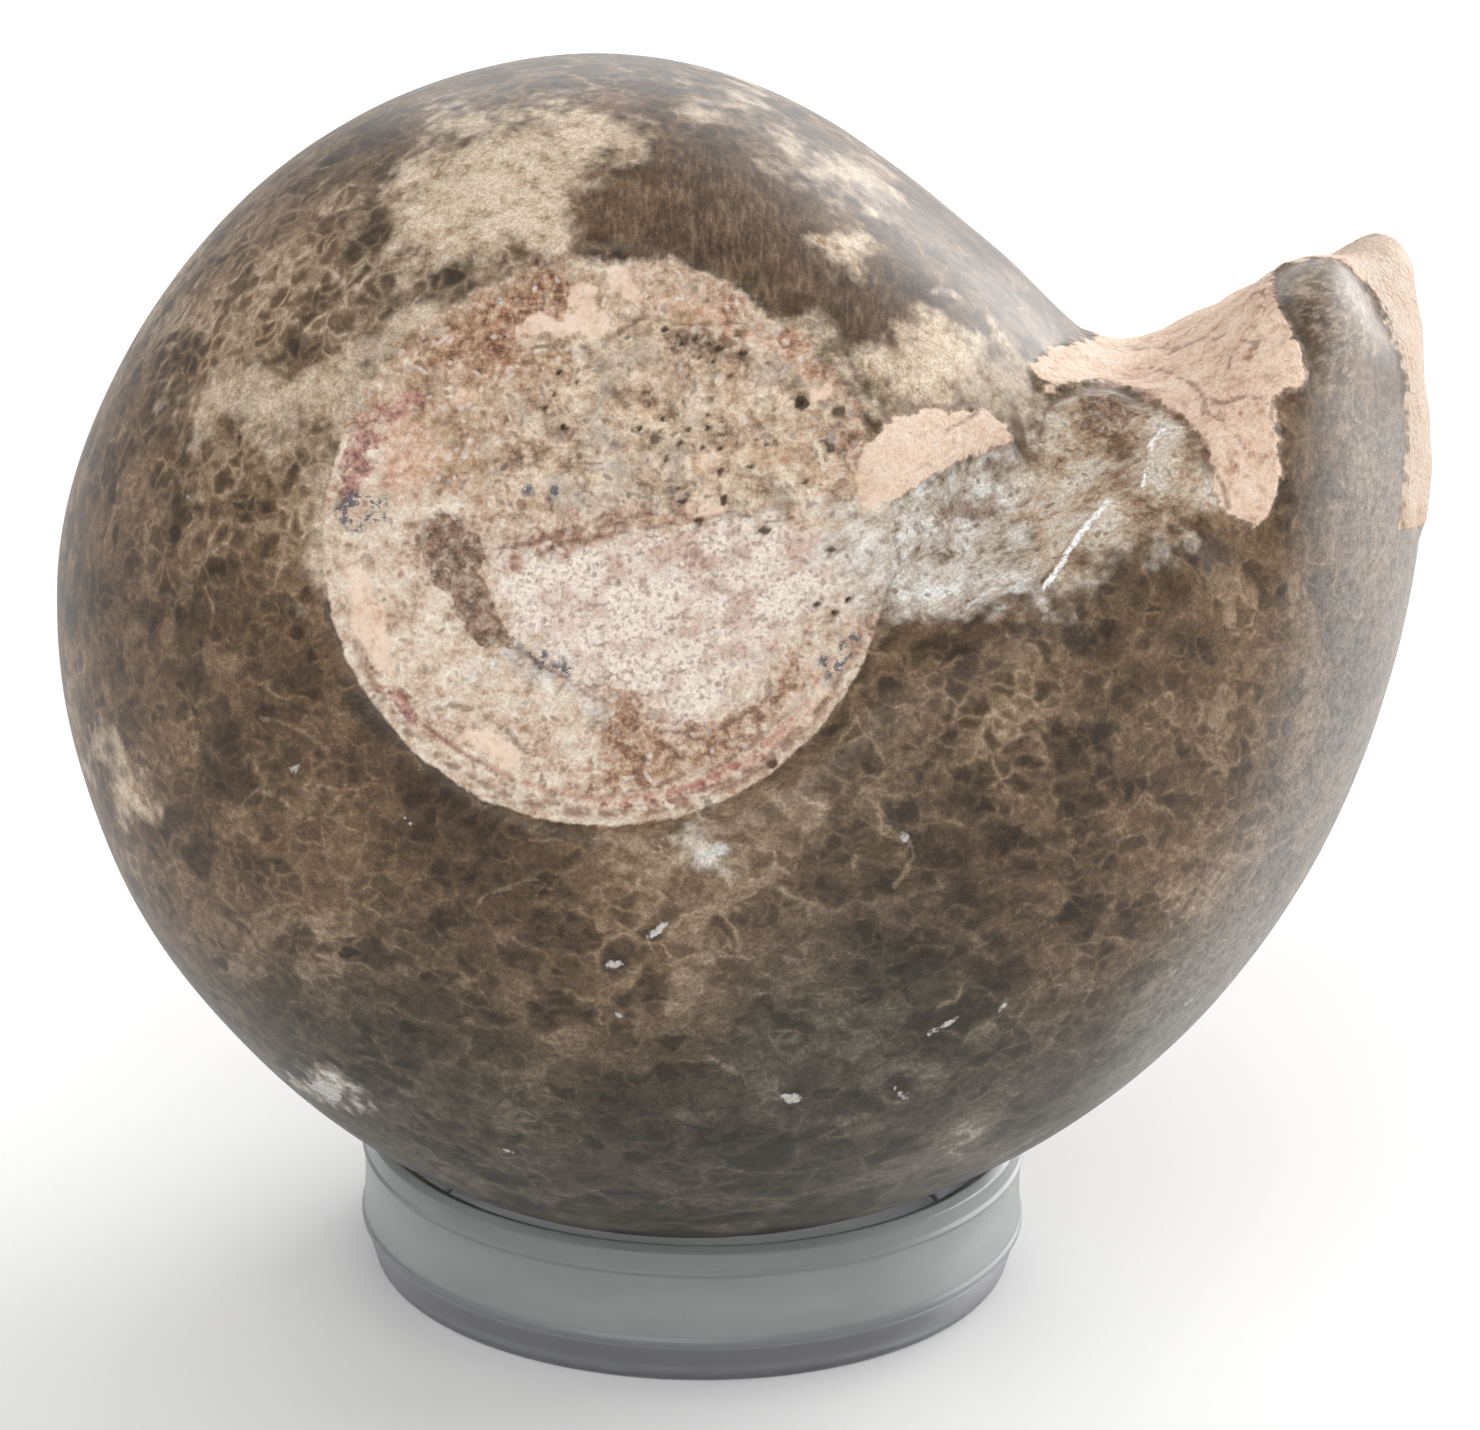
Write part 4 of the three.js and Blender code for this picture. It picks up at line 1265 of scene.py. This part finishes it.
    def slope(self, colour):
        """The last whorl's lip, the streaked chalky calcite of the slope, and the crystals of the knob."""
        colour = self.laid("lip", colour, self.colours(self.fibre, LIP_STONE))
        tone = self.plus(self.times(self.fibre, 0.4), self.times(self.blotch, 0.4))
        tone = self.plus(tone, self.times(self.grain, 0.2))
        chalk = self.flecked(self.colours(tone, CHALK_STONE), 0.45, 0.35, 0.25)
        colour = self.laid("chalk", colour, chalk)
        tone = self.plus(self.times(self.grain, 0.25), self.times(self.fibre, 0.25))
        tone = self.plus(self.times(self.wide, 0.5), tone)
        crystals = self.flecked(self.colours(tone, CRYSTALS), 0.45, 0.35, 0.5)
        return self.laid("knob", colour, crystals)

    def umber(self, colour):
        umber = self.flecked(self.colours(self.grain, UMBER_STONE), 0.3, 0.25, 0.2)
        return self.laid("umber", self.laid("umber_soft", colour, umber), umber)

    def peach(self, colour, peach_share, disc):
        """The peach matrix with its creases, and a dark line round it outside the infill."""
        pale = self.ramp(self.mark("pale"), -1.5, 1.5)
        tone = self.plus(self.mottle, self.math("MULTIPLY_ADD", pale, 0.10, -0.01))
        peach = self.flecked(self.colours(tone, PEACH_STONE), 0.12, 0.25, 0.22)
        creases = self.math("ABSOLUTE", self.plus(self.fibre, -0.5))
        creases = self.times(self.ramp(creases, 0.016, 0.0), self.ramp(self.wide, 0.45, 0.60))
        creases = self.times(creases, self.math("MULTIPLY_ADD", pale, -0.35, 0.40))
        peach = self.mix(creases, peach, CREASE_COLOUR)
        peach = self.scaled(peach, self.ramp(self.x, 52.0, 58.0, 1.0, 0.70))
        outline = self.times(peach_share, self.math("SUBTRACT", 1.0, peach_share))
        outline = self.times(outline, self.math("MULTIPLY_ADD", disc, -1.6, 1.6))
        cover = self.times(peach_share, self.math("MULTIPLY_ADD", disc, -0.15, 1.0))
        return self.mix(outline, self.mix(cover, colour, peach), OUTLINE_COLOUR)

    def small_marks(self, colour):
        """Dark specks, cracks, dark spots, threads, chips, glints and holes."""
        speck = self.times(self.patch("slate"), self.ramp(self.grain, 0.46, 0.54))
        colour = self.mix(self.times(speck, EDGES["slate"][-1]), colour, SLATE_COLOUR)
        crack = self.times(self.ramp(self.mark("crack"), -0.20, 0.12), self.ramp(self.middle, 0.34, 0.50))
        colour = self.mix(self.times(crack, 0.62), colour, CRACK_COLOUR)
        for name, spot_colour in SPOT_COLOURS.items():
            colour = self.laid(name, colour, spot_colour)
        # The holes darken with their depth: painted shade in them
        return self.mix(self.times(self.ramp(self.mark("pit"), 0.10, 0.60), 0.80), colour, HOLE_SHADE_COLOUR)

    def uneven(self, colour, peach_share, disc):
        """The colour with fine speckle, less of it on the matrix and the infill."""
        amount = self.math("MULTIPLY_ADD", disc, -0.35, self.math("MULTIPLY_ADD", peach_share, -0.5, 1.0))
        speckle = self.times(self.ramp(self.speckle, 0.30, 0.70, -0.20, 0.20), amount)
        return self.scaled(colour, self.plus(speckle, 1.0))


def stone_material(ring_axis):
    nodes = StoneNodes(ring_axis)
    disc = nodes.patch("disc")
    peach_share = nodes.patch("peach")
    colour = nodes.calcite_patches(nodes.calcite())
    colour = nodes.mix(disc, colour, nodes.infill())
    colour = nodes.umber(nodes.slope(colour))
    colour = nodes.small_marks(nodes.peach(colour, peach_share, disc))
    colour = nodes.uneven(colour, peach_share, disc)

    # The calcite is polished, and the matrix and the infill are matt
    infill_matt = nodes.times(nodes.ramp(nodes.mark("disc"), -0.3, 0.3), 0.85)
    matt = nodes.math("MAXIMUM", infill_matt, nodes.ramp(nodes.mark("peach"), -0.3, 0.3))
    roughness = nodes.plus(nodes.math("MULTIPLY_ADD", matt, 0.26, 0.39), nodes.times(nodes.close, 0.06))
    strength = nodes.math("MULTIPLY_ADD", matt, 0.50, 0.03)
    dents = {"Strength": strength, "Distance": 0.0005, "Height": nodes.close}
    bump = nodes.add("ShaderNodeBump", dents).outputs[0]
    shader = nodes.add("ShaderNodeBsdfPrincipled", {
        "Base Color": colour, "Roughness": roughness, "IOR": 1.55, "Specular IOR Level": 0.25, "Normal": bump,
    })
    nodes.tree.links.new(shader.outputs[0], nodes.output.inputs[0])
    return nodes.material


# The ring's section, from the middle of its underside outwards, in millimetres from its axis and its foot:
# each corner with the radius that rounds it
RING_SECTION = [
    (22.4, 0.0, 0.3), (26.1, 0.0, 0.5), (27.0, 3.1, 0.8), (27.3, 3.5, 0.2), (27.3, 3.9, 0.15),
    (27.1, 4.15, 0.2), (27.0, 6.4, 2.0), (27.05, 9.4, 0.5), (27.3, 9.75, 0.12), (27.05, 10.05, 0.15),
    (26.9, 11.3, 0.3), (26.2, 11.8, 0.25), (25.3, 11.45, 0.15), (21.8, 7.9, 0.4), (21.8, 0.6, 0.3),
]
RING_SEGMENTS = 160
CORNER_STEPS = 5


def rounded_outline(section):
    """The closed section with an arc of its own radius at each corner."""
    outline = []
    count = len(section)
    for i, (x, z, radius) in enumerate(section):
        corner = np.array((x, z))
        to_last = np.array(section[i - 1][:2]) - corner
        to_next = np.array(section[(i + 1) % count][:2]) - corner
        last_far, next_far = np.linalg.norm(to_last), np.linalg.norm(to_next)
        to_last, to_next = to_last / last_far, to_next / next_far
        half = math.acos(np.clip(to_last @ to_next, -1, 1)) / 2
        cut = min(radius / math.tan(half), last_far * 0.45, next_far * 0.45)
        start, end = corner + to_last * cut, corner + to_next * cut
        for step in range(CORNER_STEPS + 1):
            t = step / CORNER_STEPS
            outline.append((1 - t) ** 2 * start + 2 * t * (1 - t) * corner + t**2 * end)
    return outline


def make_ring(ring_axis):
    outline = rounded_outline(RING_SECTION)
    axis_x, axis_y, _ = ring_axis
    work = bmesh.new()
    rows = []
    for n in range(RING_SEGMENTS):
        angle = 2 * math.pi * n / RING_SEGMENTS
        row = []
        for radius, z in outline:
            x = axis_x + radius * math.cos(angle)
            y = axis_y + radius * math.sin(angle)
            row.append(work.verts.new((x * MM, y * MM, z * MM)))
        rows.append(row)
    for row, after in zip(rows, rows[1:] + rows[:1]):
        for i in range(len(outline)):
            j = (i + 1) % len(outline)
            work.faces.new((row[i], after[i], after[j], row[j]))
    bmesh.ops.recalc_face_normals(work, faces=work.faces)
    mesh = bpy.data.meshes.new("display_ring")
    work.to_mesh(mesh)
    work.free()
    mesh.polygons.foreach_set("use_smooth", np.ones(len(mesh.polygons), bool))
    ring = bpy.data.objects.new("display_ring", mesh)
    bpy.context.scene.collection.objects.link(ring)
    mesh.materials.append(plastic_material())
    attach(ring, "root")
    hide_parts("ring_stand")


# The plastic: its tints at the foot, at the top and in the band between, over heights in metres. The foot's
# darker tint is painted shade, and the band's lighter one painted light.
FOOT_SHADE_TINT = (0.38, 0.38, 0.42)
TOP_TINT = (0.57, 0.60, 0.59)
BAND_LIGHT_TINT = (0.72, 0.75, 0.73)
FOOT_SHADE_HEIGHTS = (0.0032, 0.0046)
BAND_LIGHT_HEIGHTS = (0.0105, 0.0040)
SMEARS_PER_METRE = (160.0, 160.0, 500.0)
SMEAR_SPAN = (0.3, 0.7)


def plastic_material():
    nodes = Nodes("clear_plastic")
    spot = nodes.add("ShaderNodeTexCoord").outputs["Object"]
    smears = nodes.noise(nodes.scaled(spot, SMEARS_PER_METRE), 1.0, 3.0, 0.6)
    height = nodes.add("ShaderNodeSeparateXYZ", {0: spot}).outputs[2]
    # Painted light and shade by height: lighter in the band, darker at the foot
    lit_and_shaded_tint = nodes.mix(nodes.ramp(height, *BAND_LIGHT_HEIGHTS), TOP_TINT, BAND_LIGHT_TINT)
    lit_and_shaded_tint = nodes.mix(nodes.ramp(height, *FOOT_SHADE_HEIGHTS), FOOT_SHADE_TINT, lit_and_shaded_tint)
    lit_and_shaded_tint = nodes.scaled(lit_and_shaded_tint, nodes.ramp(smears, *SMEAR_SPAN, 0.96, 1.04))
    bump = nodes.add("ShaderNodeBump", {"Strength": 0.04, "Distance": 0.0002, "Height": smears}).outputs[0]
    shader = nodes.add("ShaderNodeBsdfPrincipled", {
        "Base Color": lit_and_shaded_tint, "Roughness": nodes.ramp(smears, *SMEAR_SPAN, 0.28, 0.36), "IOR": 1.49,
        "Transmission Weight": 0.72, "Normal": bump,
    })
    nodes.tree.links.new(shader.outputs[0], nodes.output.inputs[0])
    return nodes.material


FLOOR_SIZE = 6.0


def make_floor():
    mesh = bpy.data.meshes.new("floor")
    half = FLOOR_SIZE / 2
    corners = [(-half, -half, 0), (half, -half, 0), (half, half, 0), (-half, half, 0)]
    mesh.from_pydata(corners, [], [(0, 1, 2, 3)])
    floor = bpy.data.objects.new("floor", mesh)
    bpy.context.scene.collection.objects.link(floor)
    nodes = Nodes("floor")
    shader = nodes.add("ShaderNodeBsdfPrincipled", {"Base Color": (0.90, 0.90, 0.90), "Roughness": 0.9})
    nodes.tree.links.new(shader.outputs[0], nodes.output.inputs[0])
    mesh.materials.append(nodes.material)


# Soft lights: name, place and what it faces in metres, width and height in metres, and watts
LIGHTS = [
    ("front", (-0.4, -1.5, 1.4), (0, 0, 0.05), (1.8, 1.6), 20.0),
    ("behind", (0.6, 2.2, 1.1), (0, 0, 0.05), (3.0, 1.6), 31.0),
    ("right", (1.5, 1.1, 0.5), (0.3, 0.1, 0), (2.0, 1.2), 40.0),
]
SKY_STRENGTH = 0.60


def make_lights():
    world = bpy.data.worlds.new("studio")
    world.use_nodes = True
    sky = world.node_tree.nodes["Background"]
    sky.inputs["Color"].default_value = (1, 1, 1, 1)
    sky.inputs["Strength"].default_value = SKY_STRENGTH
    bpy.context.scene.world = world
    for name, place, aim, size, watts in LIGHTS:
        data = bpy.data.lights.new(name, "AREA")
        data.shape = "RECTANGLE"
        data.size, data.size_y = size
        data.energy = watts
        light = bpy.data.objects.new(name, data)
        light.location = place
        light.rotation_mode = "QUATERNION"
        light.rotation_quaternion = (Vector(place) - Vector(aim)).to_track_quat("Z", "Y")
        bpy.context.scene.collection.objects.link(light)


def ring_axis_from_frame():
    low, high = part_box("ring_stand")
    middle = (low + high) / 2 / MM
    return np.array((middle.x, middle.y, low.z / MM))


def main():
    ring_axis = ring_axis_from_frame()
    picture = Picture(ring_axis)
    picture.make_camera()
    make_fossil(picture, ring_axis)
    make_ring(ring_axis)
    make_floor()
    make_lights()
    bpy.context.scene.view_settings.view_transform = "Standard"


main()
